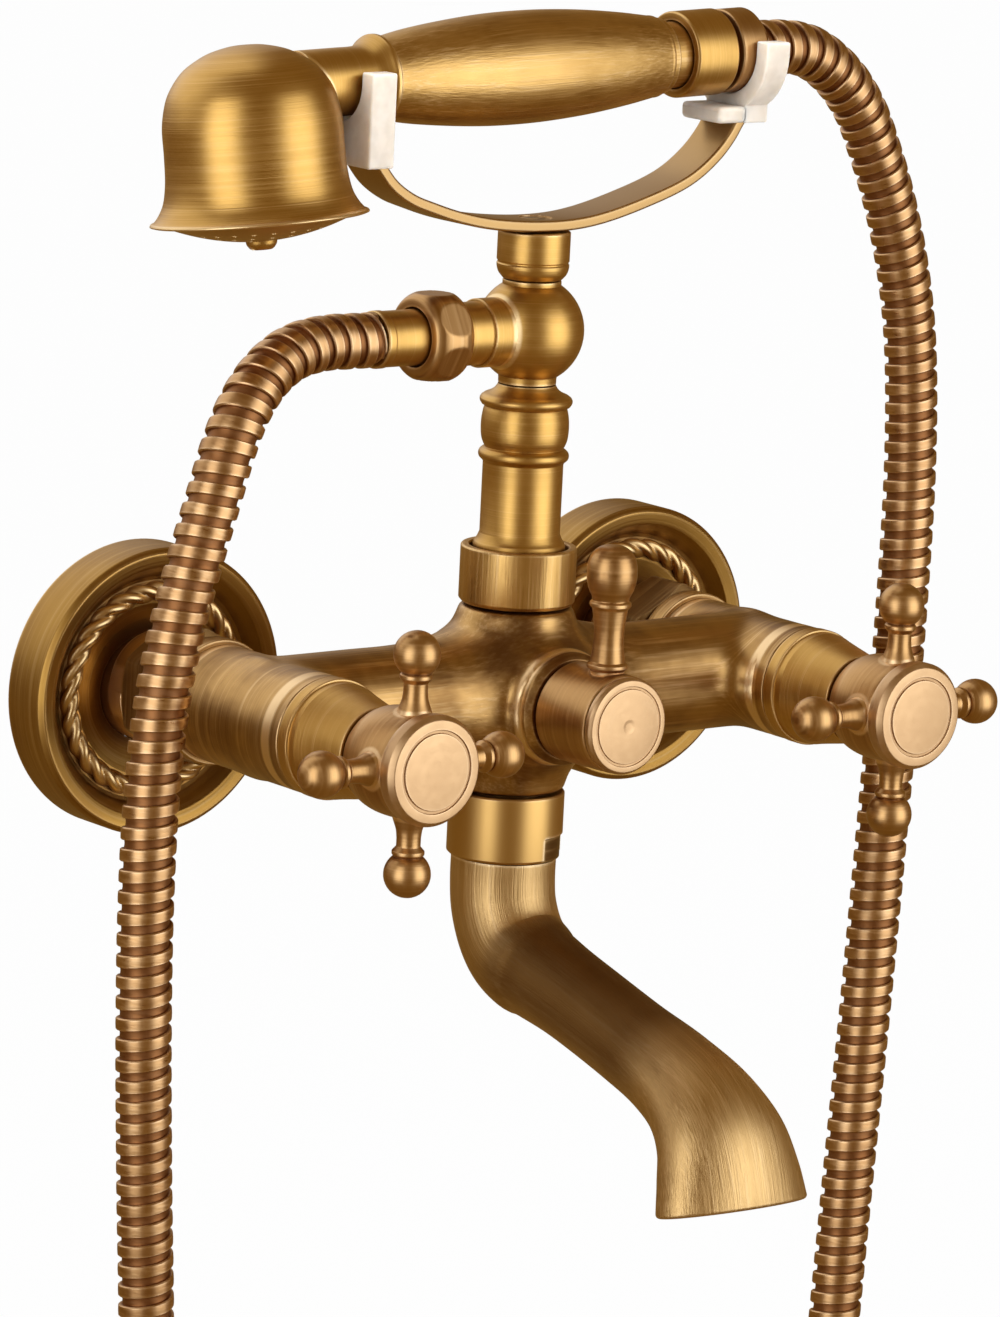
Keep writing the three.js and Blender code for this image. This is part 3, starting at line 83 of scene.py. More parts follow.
# Smooth curve through points
def throughPoints(points, steps=12):
    points = np.array(points, float)
    p = np.vstack([2 * points[0] - points[1], points, 2 * points[-1] - points[-2]])
    out = []
    for i in range(1, len(p) - 2):
        a, b, c, d = p[i - 1:i + 3]
        t0, t1, t2 = (max(np.linalg.norm(v), 1e-9) ** 0.5 for v in (b - a, c - b, d - c))
        m1 = ((b - a) / t0 - (c - a) / (t0 + t1) + (c - b) / t1) * t1
        m2 = ((c - b) / t1 - (d - b) / (t1 + t2) + (d - c) / t2) * t1
        t = np.linspace(0, 1, steps, endpoint=False)[:, None]
        out.append((2 * t**3 - 3 * t**2 + 1) * b + (t**3 - 2 * t**2 + t) * m1
                   + (3 * t**2 - 2 * t**3) * c + (t**3 - t**2) * m2)
    return np.vstack(out + [points[-1:]])


# Rounds the corners of an outline; a corner is [x, y] or [x, y, its own radius]
def softened(corners, closed, usual):
    count = len(corners)
    out = []
    for i, corner in enumerate(corners):
        here = np.array(corner[:2], float)
        radius = corner[2] if len(corner) > 2 else usual
        before = np.array(corners[i - 1][:2], float) - here
        after = np.array(corners[(i + 1) % count][:2], float) - here
        low, high = np.linalg.norm(before), np.linalg.norm(after)
        if radius == 0 or min(low, high) < 1e-6 or (not closed and i in (0, count - 1)):
            out.append(here)
            continue
        before, after = before / low, after / high
        turn = math.pi - math.acos(np.clip(before @ after, -1, 1))
        if turn < 0.12:
            out.append(here)
            continue
        reach = min(radius * math.tan(turn / 2), 0.45 * low, 0.45 * high)
        start, end = here + before * reach, here + after * reach
        bends = max(2, math.ceil(turn / 0.26))
        for t in np.linspace(0, 1, bends + 1):
            out.append((1 - t)**2 * start + 2 * t * (1 - t) * here + t * t * end)
    return np.array(out)


def unit(vectors):
    return vectors / np.maximum(np.linalg.norm(vectors, axis=1), 1e-9)[:, None]


# How far along the line each of its points lies
def lengthsAlong(line):
    return np.concatenate([[0], np.cumsum(np.linalg.norm(np.diff(line, axis=0), axis=1))])


# Each column of a table at the given lengths
def sampled(at, along, table):
    return np.stack([np.interp(at, along, table[:, k]) for k in range(table.shape[1])], 1)


# The same line with its points evenly spaced, and its length
def evenly(points, count):
    along = lengthsAlong(points)
    return sampled(np.linspace(0, along[-1], count), along, points), along[-1]


def ballArc(radius, centre, low, high, steps=16):
    angles = np.radians(np.linspace(low, high, steps))
    return [[max(0, radius * math.cos(a)), centre + radius * math.sin(a), 0] for a in angles]


def flow(points, steps=6):
    return [[x, y, 0] for x, y in throughPoints(points, steps)]


# Where a turned piece's own axis points
def facing(direction, x=0, y=0, z=0):
    turns = {
        "up": Matrix.Identity(4), "front": Matrix.Rotation(math.pi / 2, 4, "X"),
        "right": Matrix.Rotation(math.pi / 2, 4, "Y"), "left": Matrix.Rotation(-math.pi / 2, 4, "Y"),
    }
    return Matrix.Translation((x, y, z)) @ turns[direction]


# Shapes are given in millimetres; grain keeps each point's place on the straightened piece
def makeMesh(name, points, faces, grain, place=Matrix.Identity(4), grooveShade=None):
    turn = np.array(place.to_3x3())
    points = (np.asarray(points, float) @ turn.T + np.array(place.translation)) * mm
    mesh = bpy.data.meshes.new(name)
    mesh.from_pydata(points.tolist(), [], faces)
    mesh.attributes.new("grain", "FLOAT_VECTOR", "POINT").data.foreach_set(
        "vector", np.asarray(grain, np.float32).ravel())
    if grooveShade is not None:
        mesh.attributes.new("grooveShade", "FLOAT", "POINT").data.foreach_set("value", np.asarray(grooveShade, np.float32))
    mesh.validate()
    piece = bpy.data.objects.new(name, mesh)
    bpy.context.scene.collection.objects.link(piece)
    return piece


def gridFaces(rows, columns, closed):
    faces = []
    for i in range(rows if closed else rows - 1):
        low, high = i * columns, (i + 1) % rows * columns
        for j in range(columns):
            k = (j + 1) % columns
            faces.append((low + j, low + k, high + k, high + j))
    return faces


def fullTurn(count):
    return np.linspace(0, 2 * math.pi, count, endpoint=False)


def areaOf(line):
    return np.sum(line[:, 0] * np.roll(line[:, 1], -1) - np.roll(line[:, 0], -1) * line[:, 1]) / 2


# A turned piece; its profile is [radius, distance along the axis], and is closed if it starts off the axis
def turned(name, profile, place, usual=0.25, count=96):
    closed = profile[0][0] > 0
    line = softened(profile, closed, usual)
    if (closed and areaOf(line) < 0) or (not closed and line[0, 1] > line[-1, 1]):
        line = line[::-1]
    angles = fullTurn(count)
    points, grain, rows = [], [], []
    for (radius, along), length in zip(line, lengthsAlong(line)):
        around = angles if radius > 1e-6 else angles[:1]
        rows.append((len(points), len(around)))
        for a in around:
            x, y = radius * math.cos(a), radius * math.sin(a)
            points.append((x, y, along))
            grain.append((x, y, length))
    faces = []
    for i in range(len(rows) if closed else len(rows) - 1):
        (low, lowCount), (high, highCount) = rows[i], rows[(i + 1) % len(rows)]
        for j in range(count):
            k = (j + 1) % count
            ring = [low + j % lowCount, low + k % lowCount, high + k % highCount, high + j % highCount]
            face = [v for n, v in enumerate(ring) if v not in ring[:n]]
            if len(face) > 2:
                faces.append(tuple(face))
    return makeMesh(name, points, faces, grain, place)


# Rings round an axis, closed into one skin; a row is (radius, distance along the axis)
def ringMesh(name, rows, count, place):
    angles = fullTurn(count)
    points = np.vstack([np.column_stack([r * np.cos(angles), r * np.sin(angles), np.broadcast_to(z, count)])
                        for r, z in rows])
    return makeMesh(name, points, gridFaces(len(rows), count, True), points, place)


# How far round each point is from the middle of its flat
def offFlat(count):
    return (fullTurn(count) + math.pi / 6) % (math.pi / 3) - math.pi / 6


# A hexagon nut with turned ends; the inner profile runs from its high end down to its low end
def hexNut(name, sizes, inner, place, count=120):
    half, low, high = sizes["flats"] / 2, sizes["low"], sizes["high"]
    reach = half / np.cos(np.minimum(abs(offFlat(count)), math.pi / 6 - sizes["cornerTurn"]))
    start, corner = half * sizes["endShare"], reach.max()
    drop = np.maximum(0, reach - start) * sizes["chamfer"] / (corner - start)
    flat = np.minimum(reach, start)
    rows = [(flat, low), (reach, low + drop), (reach, high - drop), (flat, high)]
    rows += [(radius, along) for radius, along in softened(
        [[start, high, 0], *inner, [start, low, 0]], False, 0.2)[1:-1]]
    return ringMesh(name, rows, count, place)


# A barrel-shaped nut whose flats come out round; its rim is [radius, distance along the axis]
def barrelNut(name, flats, rim, inner, place, count=144):
    rim = throughPoints(rim, 5)
    rows = [(np.minimum(flats / 2 / np.cos(offFlat(count)), radius), along) for radius, along in rim]
    rows += [(radius, along) for radius, along in softened([rim[-1], *inner, rim[0]], False, 0.2)[1:-1]]
    return ringMesh(name, rows, count, place)


# A section swept along a line, one of its own axes kept near the given side
def swept(name, line, sections, side, place=Matrix.Identity(4), ring=False):
    if ring:
        tangent = np.roll(line, -1, axis=0) - np.roll(line, 1, axis=0)
    else:
        tangent = np.gradient(line, axis=0)
    tangent = unit(tangent)
    up = unit(np.cross(tangent, side))
    across = np.cross(up, tangent)
    count = len(sections[0])
    points = [spot + s[:, :1] * a + s[:, 1:] * u for spot, a, u, s in zip(line, across, up, sections)]
    grain = [np.column_stack([s, np.full(count, length)]) for s, length in zip(sections, lengthsAlong(line))]
    faces = gridFaces(len(line), count, ring)
    if not ring:
        last = count * (len(line) - 1)
        faces += [tuple(range(count))[::-1], tuple(range(last, last + count))]
    return makeMesh(name, np.vstack(points), faces, np.vstack(grain), place)


# A flat plate cut to an outline, its rims rounded
def plate(name, outline, thickness, rim, place, usual=0.8):
    line = softened(outline, True, usual)
    line = line[np.linalg.norm(line - np.roll(line, 1, axis=0), axis=1) > 1e-4]
    if areaOf(line) < 0:
        line = line[::-1]
    edge = unit(np.roll(line, -1, axis=0) - line)
    normal = np.column_stack([edge[:, 1], -edge[:, 0]])
    corner = normal + np.roll(normal, 1, axis=0)
    corner /= np.maximum(np.sum(corner * normal, axis=1)[:, None], 0.3)
    half = thickness / 2
    levels = [(1 - math.sin(a), -half + rim * (1 - math.cos(a))) for a in np.linspace(0, math.pi / 2, 4)]
    levels += [(inset, -height) for inset, height in reversed(levels)]
    count = len(line)
    points = np.vstack([np.column_stack([line - corner * rim * inset, np.full(count, height)])
                        for inset, height in levels])
    last = count * (len(levels) - 1)
    faces = gridFaces(len(levels), count, False)
    for corners in tessellate_polygon([[(x, y, 0) for x, y in line]]):
        if areaOf(line[list(corners)]) < 0:
            corners = corners[::-1]
        faces += [tuple(corners[::-1]), tuple(last + k for k in corners)]
    return makeMesh(name, points, faces, points, place)


def rectangle(x, y, *more):
    return [[-x, -y, *more], [x, -y, *more], [x, y, *more], [-x, y, *more]]


# The mesh with its modifiers applied
def settled(piece):
    return bpy.data.meshes.new_from_object(piece.evaluated_get(bpy.context.evaluated_depsgraph_get()))


def cutAway(piece, *tools):
    for tool in tools:
        step = piece.modifiers.new("cut", "BOOLEAN")
        step.solver = "EXACT"
        step.operation = "DIFFERENCE"
        step.object = tool
    piece.data = settled(piece)
    piece.modifiers.clear()
    for tool in tools:
        bpy.data.objects.remove(tool)
    return piece


# Several meshes made into one object
def joined(name, *parts):
    points, faces, grain = [], [], []
    for part in parts:
        start = len(points)
        points += [tuple(v.co / mm) for v in part.data.vertices]
        faces += [tuple(start + i for i in face.vertices) for face in part.data.polygons]
        grain += [tuple(v.vector) for v in part.data.attributes["grain"].data]
        bpy.data.objects.remove(part)
    return makeMesh(name, points, faces, grain)


# Shader node groups and materials

# A number stands for a value, three for a vector, and four for a colour
def newGroup(name, inputs, outputs):
    group = bpy.data.node_groups.new(name, "ShaderNodeTree")
    for label, value in inputs.items():
        kind = "Float" if isinstance(value, float) else {3: "Vector", 4: "Color"}[len(value)]
        socket = group.interface.new_socket(label, in_out="INPUT", socket_type="NodeSocket" + kind)
        socket.default_value = value
    for label in outputs:
        kind = "Color" if label == "Color" else "Float"
        group.interface.new_socket(label, in_out="OUTPUT", socket_type="NodeSocket" + kind)
    return group, group.nodes.new("NodeGroupInput").outputs, group.nodes.new("NodeGroupOutput").inputs


def setInput(tree, socket, value):
    if isinstance(value, bpy.types.NodeSocket):
        tree.links.new(value, socket)
    else:
        socket.default_value = value


def addNode(tree, kind, values, **settings):
    made = tree.nodes.new(kind)
    for key, value in settings.items():
        setattr(made, key, value)
    for key, value in values.items():
        setInput(tree, made.inputs[key], value)
    return made


def calculate(tree, operation, a, b=0.0, clamp=False):
    return addNode(tree, "ShaderNodeMath", {0: a, 1: b}, operation=operation, use_clamp=clamp).outputs[0]


def times(tree, a, b, clamp=False):
    return calculate(tree, "MULTIPLY", a, b, clamp)


def spread(tree, value, low, high, start=0.0, end=1.0):
    values = {0: value, 1: low, 2: high, 3: start, 4: end}
    return addNode(tree, "ShaderNodeMapRange", values, interpolation_type="SMOOTHSTEP").outputs[0]


def noise(tree, vector, scale, detail=2.0, roughness=0.5):
    values = {"Vector": vector, "Scale": scale, "Detail": detail, "Roughness": roughness}
    return addNode(tree, "ShaderNodeTexNoise", values).outputs[0]


def blendColors(tree, factor, a, b):
    return addNode(tree, "ShaderNodeMix", {0: factor, 6: a, 7: b}, data_type="RGBA").outputs[2]


# Fine lines, broader bands and clouds of patina; Lines says how close they lie on each axis
def makeBrushing():
    tree, given, out = newGroup(
        "brushing", {"Place": (0, 0, 0), "Lines": (0.02, 0.02, 1.2)}, ["Streak", "Band", "Cloud"])
    fine = addNode(tree, "ShaderNodeVectorMath", {0: given[0], 1: given[1]}, operation="MULTIPLY").outputs[0]
    setInput(tree, out["Streak"], spread(tree, noise(tree, fine, 1.0, 3.0, 0.6), 0.22, 0.78))
    setInput(tree, out["Band"], spread(tree, noise(tree, fine, 0.17, 2.0, 0.5), 0.22, 0.78))
    setInput(tree, out["Cloud"], spread(tree, noise(tree, given[0], 0.06, 3.0, 0.55), 0.32, 0.68))
    return tree


# Edges worn bright, which also paints a highlight on them, and hollows darkened by patina and painted shade,
# shade that neighbouring parts cast too; alone leaves the neighbours out
def makeWearAndShade(name, alone):
    tree, given, out = newGroup(name, {"Hollow Reach": 0.006, "Edge Reach": 0.0011}, ["Edge", "Hollow"])
    outer = addNode(tree, "ShaderNodeAmbientOcclusion", {"Distance": given[0]}, samples=8, only_local=alone)
    inner = addNode(tree, "ShaderNodeAmbientOcclusion", {"Distance": given[1]}, samples=8, inside=True,
                    only_local=True)
    setInput(tree, out["Hollow"], spread(tree, outer.outputs["AO"], 0.4, 0.88, 1.0, 0.0))
    setInput(tree, out["Edge"], spread(tree, inner.outputs["AO"], 0.55, 0.92, 1.0, 0.0))
    return tree


# Colour, roughness and height of aged brass from the masks, with patina and painted shade in the hollows and a
# painted highlight on the edges
def makeAgingAndShade():
    tree, given, out = newGroup("agingAndShade", {
        "Streak": 0.5, "Band": 0.5, "Cloud": 0.5, "Edge": 0.0, "Hollow": 0.0,
        "Base": (0.5, 0.3, 0.1, 1), "Worn": (0.7, 0.5, 0.25, 1), "Dark": (0.12, 0.06, 0.02, 1),
        "Contrast": 0.5, "Smooth": 0.3, "Rough": 0.45,
    }, ["Color", "Roughness", "Height"])
    both = calculate(tree, "ADD", times(tree, given["Streak"], 0.6), times(tree, given["Band"], 0.4))
    dull = times(tree, calculate(tree, "SUBTRACT", 1.0, both), given["Contrast"])
    patches = calculate(tree, "ADD", 0.5, given["Cloud"])
    tone = blendColors(tree, times(tree, dull, patches, True), given["Base"], given["Dark"])
    bright = times(tree, spread(tree, both, 0.5, 0.95), given["Contrast"])
    tone = blendColors(tree, times(tree, bright, 0.7), tone, given["Worn"])
    # patina and painted shade darken the hollows
    tone = blendColors(tree, times(tree, given["Hollow"], 0.8), tone, given["Dark"])
    # worn edges brighten, a painted highlight on them too
    tone = blendColors(tree, times(tree, given["Edge"], 0.9), tone, given["Worn"])
    setInput(tree, out["Color"], tone)
    gap = calculate(tree, "SUBTRACT", given["Rough"], given["Smooth"])
    rough = calculate(tree, "ADD", given["Smooth"], times(tree, gap, given["Streak"]))
    worse = times(tree, given["Hollow"], 0.12)
    setInput(tree, out["Roughness"], calculate(tree, "ADD", rough, worse, True))
    half = times(tree, given["Band"], 0.5)
    setInput(tree, out["Height"], calculate(tree, "ADD", given["Streak"], half))
    return tree


brushing, agingAndShade = makeBrushing(), makeAgingAndShade()
wearAndShade, wearAndShadeAlone = makeWearAndShade("wearAndShade", False), makeWearAndShade("wearAndShadeAlone", True)


def color(r, g, b):
    return (r, g, b, 1)


# Each finish: how close its lines lie on each axis, its three colours, and how rough it is
# alone leaves its neighbours out of the painted shade in its hollows; solid places its lines by the object
finishes = {
    "turnedBrass": {
        "lines": (0.012, 0.012, 3.0), "base": (0.65, 0.385, 0.105), "worn": (0.93, 0.69, 0.36),
        "dark": (0.26, 0.115, 0.016), "contrast": 0.3, "smooth": 0.27, "rough": 0.42, "bump": 0.1,
    },
    "drawnBrass": {
        "lines": (2.4, 2.4, 0.035), "base": (0.7, 0.435, 0.145), "worn": (0.94, 0.72, 0.42),
        "dark": (0.3, 0.14, 0.02), "contrast": 0.45, "smooth": 0.28, "rough": 0.44, "bump": 0.13,
    },
    "rosyBrass": {
        "lines": (0.015, 0.015, 0.9), "base": (0.58, 0.34, 0.13), "worn": (0.9, 0.63, 0.34),
        "dark": (0.24, 0.1, 0.035), "contrast": 0.4, "smooth": 0.28, "rough": 0.42, "bump": 0.1,
    },
    "capBrass": {
        "lines": (0.3, 0.3, 0.3), "base": (0.66, 0.43, 0.22), "worn": (0.94, 0.7, 0.42),
        "dark": (0.26, 0.12, 0.045), "contrast": 0.25, "smooth": 0.36, "rough": 0.48, "bump": 0.03,
    },
    # painted shade: a darker copy of the brass, for the union nuts, the spout key and the cradle screw
    "darkBrass": {
        "lines": (0.015, 0.015, 0.9), "base": (0.27, 0.15, 0.05), "worn": (0.62, 0.42, 0.19),
        "dark": (0.09, 0.045, 0.016), "contrast": 0.5, "smooth": 0.3, "rough": 0.45, "bump": 0.1,
    },
    "flangeBrass": {
        "lines": (0.012, 0.012, 1.8), "base": (0.43, 0.24, 0.05), "worn": (0.9, 0.66, 0.34),
        "dark": (0.2, 0.09, 0.03), "contrast": 0.4, "smooth": 0.32, "rough": 0.46, "bump": 0.08,
    },
    "ropeBrass": {
        "lines": (0.3, 0.3, 0.3), "base": (0.76, 0.53, 0.24), "worn": (0.98, 0.82, 0.52),
        "dark": (0.2, 0.085, 0.025), "contrast": 0.2, "smooth": 0.26, "rough": 0.36, "bump": 0.03,
    },
    "strapBrass": {
        "lines": (1.2, 1.2, 0.03), "base": (0.5, 0.31, 0.12), "worn": (0.94, 0.72, 0.42),
        "dark": (0.2, 0.1, 0.03), "contrast": 0.4, "smooth": 0.26, "rough": 0.4, "bump": 0.1,
        "alone": True,
    },
    "innerBrass": {
        "lines": (0.02, 0.8, 0.02), "base": (0.55, 0.4, 0.18), "worn": (0.8, 0.6, 0.3),
        "dark": (0.3, 0.18, 0.06), "contrast": 0.3, "smooth": 0.25, "rough": 0.35, "bump": 0.05,
        "solid": True,
    },
    "plainSteel": {
        "lines": (0.02, 0.8, 0.02), "base": (0.5, 0.5, 0.48), "worn": (0.7, 0.7, 0.68),
        "dark": (0.2, 0.19, 0.18), "contrast": 0.3, "smooth": 0.25, "rough": 0.4, "bump": 0.05,
        "solid": True,
    },
}


def newMaterial(name):
    material = bpy.data.materials.new(name)
    material.use_nodes = True
    return material, material.node_tree, material.node_tree.nodes["Principled BSDF"]


def grainPlace(tree):
    return addNode(tree, "ShaderNodeAttribute", {}, attribute_name="grain").outputs["Vector"]


def objectPlace(tree):
    found = tree.nodes.new("ShaderNodeTexCoord").outputs["Object"]
    values = {0: found, 1: (1000, 1000, 1000)}
    return addNode(tree, "ShaderNodeVectorMath", values, operation="MULTIPLY").outputs[0]


def brushedMasks(tree, place, lines):
    made = addNode(tree, "ShaderNodeGroup", {}, node_tree=brushing)
    setInput(tree, made.inputs["Place"], place)
    made.inputs["Lines"].default_value = lines
    return {label: made.outputs[label] for label in ("Streak", "Band", "Cloud")}


def finishSurface(tree, surface, look, masks, hollow=None):
    worn = addNode(tree, "ShaderNodeGroup", {}, node_tree=wearAndShadeAlone if look.get("alone") else wearAndShade)
    aged = addNode(tree, "ShaderNodeGroup", {}, node_tree=agingAndShade)
    # the Hollow mask brings patina and painted shade; the extra darkening adds the spout's painted reflection,
    # the hose's painted groove shade and the body's middle darkening
    deep = worn.outputs["Hollow"]
    if hollow:
        deep = calculate(tree, "MAXIMUM", deep, hollow)
    given = dict(masks, Edge=worn.outputs["Edge"], Hollow=deep)
    for label in ("Base", "Worn", "Dark"):
        given[label] = color(*look[label.lower()])
    for label in ("Contrast", "Smooth", "Rough"):
        given[label] = look[label.lower()]
    for label, value in given.items():
        setInput(tree, aged.inputs[label], value)
    values = {"Strength": look["bump"], "Distance": bumpDepth, "Height": aged.outputs["Height"]}
    bump = addNode(tree, "ShaderNodeBump", values)
    surface.inputs["Metallic"].default_value = 1
    for label, value in (("Base Color", aged.outputs["Color"]), ("Roughness", aged.outputs["Roughness"]),
                         ("Normal", bump.outputs["Normal"])):
        setInput(tree, surface.inputs[label], value)


def brushedMetal(name, look):
    material, tree, surface = newMaterial(name)
    place = objectPlace(tree) if look.get("solid") else grainPlace(tree)
    finishSurface(tree, surface, look, brushedMasks(tree, place, look["lines"]))
    return material


# Cast body: brushed along the arms, and round the valve barrels at the ends
def castMetal(look):
    material, tree, surface = newMaterial("castBrass")
    spot = objectPlace(tree)
    middle = brushedMasks(tree, spot, look["lines"])
    ends = brushedMasks(tree, spot, look["endLines"])
    away = calculate(tree, "ABSOLUTE", addNode(tree, "ShaderNodeSeparateXYZ", {0: spot}).outputs[0])
    share = spread(tree, away, *look["ends"])
    masks = {}
    for label in middle:
        values = {0: share, 2: middle[label], 3: ends[label]}
        masks[label] = addNode(tree, "ShaderNodeMix", values, data_type="FLOAT").outputs[0]
    # the body is made darker towards its middle, in clouds
    middleDarkening = times(tree, spread(tree, away, *look["middle"]), masks["Cloud"])
    finishSurface(tree, surface, look, masks, times(tree, middleDarkening, look["middleDarkening"]))
    return material


# Spout: the upper side of its slope is painted dark, a painted reflection of the dark room above it
def spoutMetal(look):
    material, tree, surface = newMaterial("spoutBrass")
    spot = grainPlace(tree)
    masks = brushedMasks(tree, spot, look["lines"])
    rise, length = addNode(tree, "ShaderNodeSeparateXYZ", {0: spot}).outputs[1:3]
    share = times(tree, spread(tree, length, *look["start"]), spread(tree, length, *look["end"]))
    # painted dark reflection on the upper side of the slope
    finishSurface(tree, surface, look, masks, times(tree, share, spread(tree, rise, *look["rise"])))
    return material


# Hose: worn bands, and grooves darkened with painted shade, told apart by the groove shade on its mesh
def hoseMetal(look):
    material, tree, surface = newMaterial("hoseBrass")
    grooveShade = addNode(tree, "ShaderNodeAttribute", {}, attribute_name="grooveShade").outputs["Fac"]
    finishSurface(tree, surface, look, brushedMasks(tree, grainPlace(tree), look["lines"]), grooveShade)
    return material


plastic = {
    "low": color(0.63, 0.555, 0.47), "high": color(0.71, 0.635, 0.55),
    "sockets": {
        "Transmission Weight": 0.12, "Subsurface Weight": 0.85, "Subsurface Radius": (1.0, 0.85, 0.7),
        "Subsurface Scale": 0.004, "IOR": 1.4,
    },
}


def milkyPlastic():
    material, tree, surface = newMaterial("milkyPlastic")
    spot = objectPlace(tree)
    haze = spread(tree, noise(tree, spot, 0.25), 0.3, 0.7)
    tone = blendColors(tree, haze, plastic["low"], plastic["high"])
    setInput(tree, surface.inputs["Base Color"], tone)
    setInput(tree, surface.inputs["Roughness"], spread(tree, noise(tree, spot, 1.2), 0.2, 0.8, 0.3, 0.42))
    for label, value in plastic["sockets"].items():
        surface.inputs[label].default_value = value
    return material


def sealRubber():
    material, tree, surface = newMaterial("sealRubber")
    speck = noise(tree, objectPlace(tree), 3.0, 3.0)
    tone = blendColors(tree, speck, color(0.02, 0.02, 0.02), color(0.05, 0.05, 0.05))
    setInput(tree, surface.inputs["Base Color"], tone)
    setInput(tree, surface.inputs["Roughness"], spread(tree, speck, 0.2, 0.8, 0.6, 0.85))
    return material


castLook = {
    "lines": (0.03, 1.4, 1.4), "endLines": (0.02, 2.2, 0.02), "ends": (52.0, 64.0),
    "middle": (10.0, 45.0, 1.0, 0.35), "middleDarkening": 1.1,
    "base": (0.6, 0.36, 0.125), "worn": (0.92, 0.66, 0.35), "dark": (0.17, 0.075, 0.022),
    "contrast": 0.6, "smooth": 0.26, "rough": 0.38, "bump": 0.08,
}
spoutLook = {
    "lines": (2.4, 2.4, 0.035), "base": (0.7, 0.46, 0.19), "worn": (0.95, 0.74, 0.44),
    "dark": (0.14, 0.052, 0.003), "contrast": 0.3, "smooth": 0.34, "rough": 0.5, "bump": 0.2,
    # start, end and rise place the painted dark reflection on the upper side of the slope
    "start": (22.0, 36.0), "end": (78.0, 100.0, 1.0, 0.0), "rise": (-12.0, 1.0),
}
hoseLook = {
    "lines": (0.2, 0.2, 1.2), "base": (0.62, 0.37, 0.16), "worn": (0.92, 0.66, 0.38),
    "dark": (0.22, 0.075, 0.02), "contrast": 0.4, "smooth": 0.26, "rough": 0.4, "bump": 0.08,
}
materials = {name: brushedMetal(name, look) for name, look in finishes.items()}
materials["castBrass"] = castMetal(castLook)
materials["spoutBrass"] = spoutMetal(spoutLook)
materials["hoseBrass"] = hoseMetal(hoseLook)
materials["milkyPlastic"] = milkyPlastic()
materials["sealRubber"] = sealRubber()
print("materials made")


def fit(piece, body, material, slot, *replaced):
    piece.data.shade_smooth()
    piece.data.set_sharp_from_angle(angle=sharpAngle)
    piece.data.materials.append(materials[material])
    if body:
        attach(piece, body)
    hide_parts(*replaced)
    return piece


def fitTurned(name, profile, place, body, material, slot, replaced, **more):
    fit(turned(name, profile, place, **more), body, material, slot, replaced)


# Hose: a spiral of flat bands, from the ferrule down and up to the hand shower

hose = {
    "radius": 6.78, "groove": 5.8, "bore": 3.4, "pitch": 5.14, "band": 0.62, "edge": 0.32, "sides": 40,
    "lip": 0.012, "lipDrop": 0.3, "lipShade": 0.4, "crown": 0.05, "dip": 0.1, "endGap": 0.02,
    "samples": 6000, "shared": 1200, "weld": 0.00002,
    "route": [
        [-48.3, -57.7, 90.6], [-55.1, -57.7, 90.6], [-61.9, -57.7, 90.6], [-72.2, -58.6, 89],
        [-81.6, -60.6, 84.3], [-89.2, -62.8, 76.8], [-94.2, -64.2, 68], [-98, -64.8, 57.5],
        [-102.4, -65.1, 44.4], [-107.2, -65.2, 28], [-111.2, -65.3, 9], [-113.2, -65.3, -14],
        [-113.6, -65.2, -40], [-112.6, -65, -73], [-110.4, -64.6, -110], [-107.6, -64, -150],
        [-106.2, -63.2, -210], [-105.4, -62.2, -280], [-103.2, -61, -349], [-96.6, -60, -403],
        [-81.6, -59, -448], [-55.6, -58.4, -481.8], [-20.6, -58, -500.7], [20.6, -57.8, -502.3],
        [57.6, -57.7, -487], [86.4, -57.7, -456], [104.4, -57.7, -412], [112.4, -57.7, -356],
        [115, -57.7, -285], [117, -57.7, -215], [120, -57.7, -148], [122.8, -57.7, -95],
        [125.2, -57.7, -40], [127, -57.7, 10], [126.9, -57.7, 52], [124.3, -57.7, 82],
        [120.2, -57.7, 101], [114.3, -57.7, 118.4], [108.8, -57.7, 130.6], [102.7, -57.7, 141.8],
        [94.7, -57.7, 150.6], [84.2, -57.7, 156.8], [73, -57.7, 158.3], [66.2, -57.7, 158],
        [59.4, -57.7, 157.8],
    ],
}


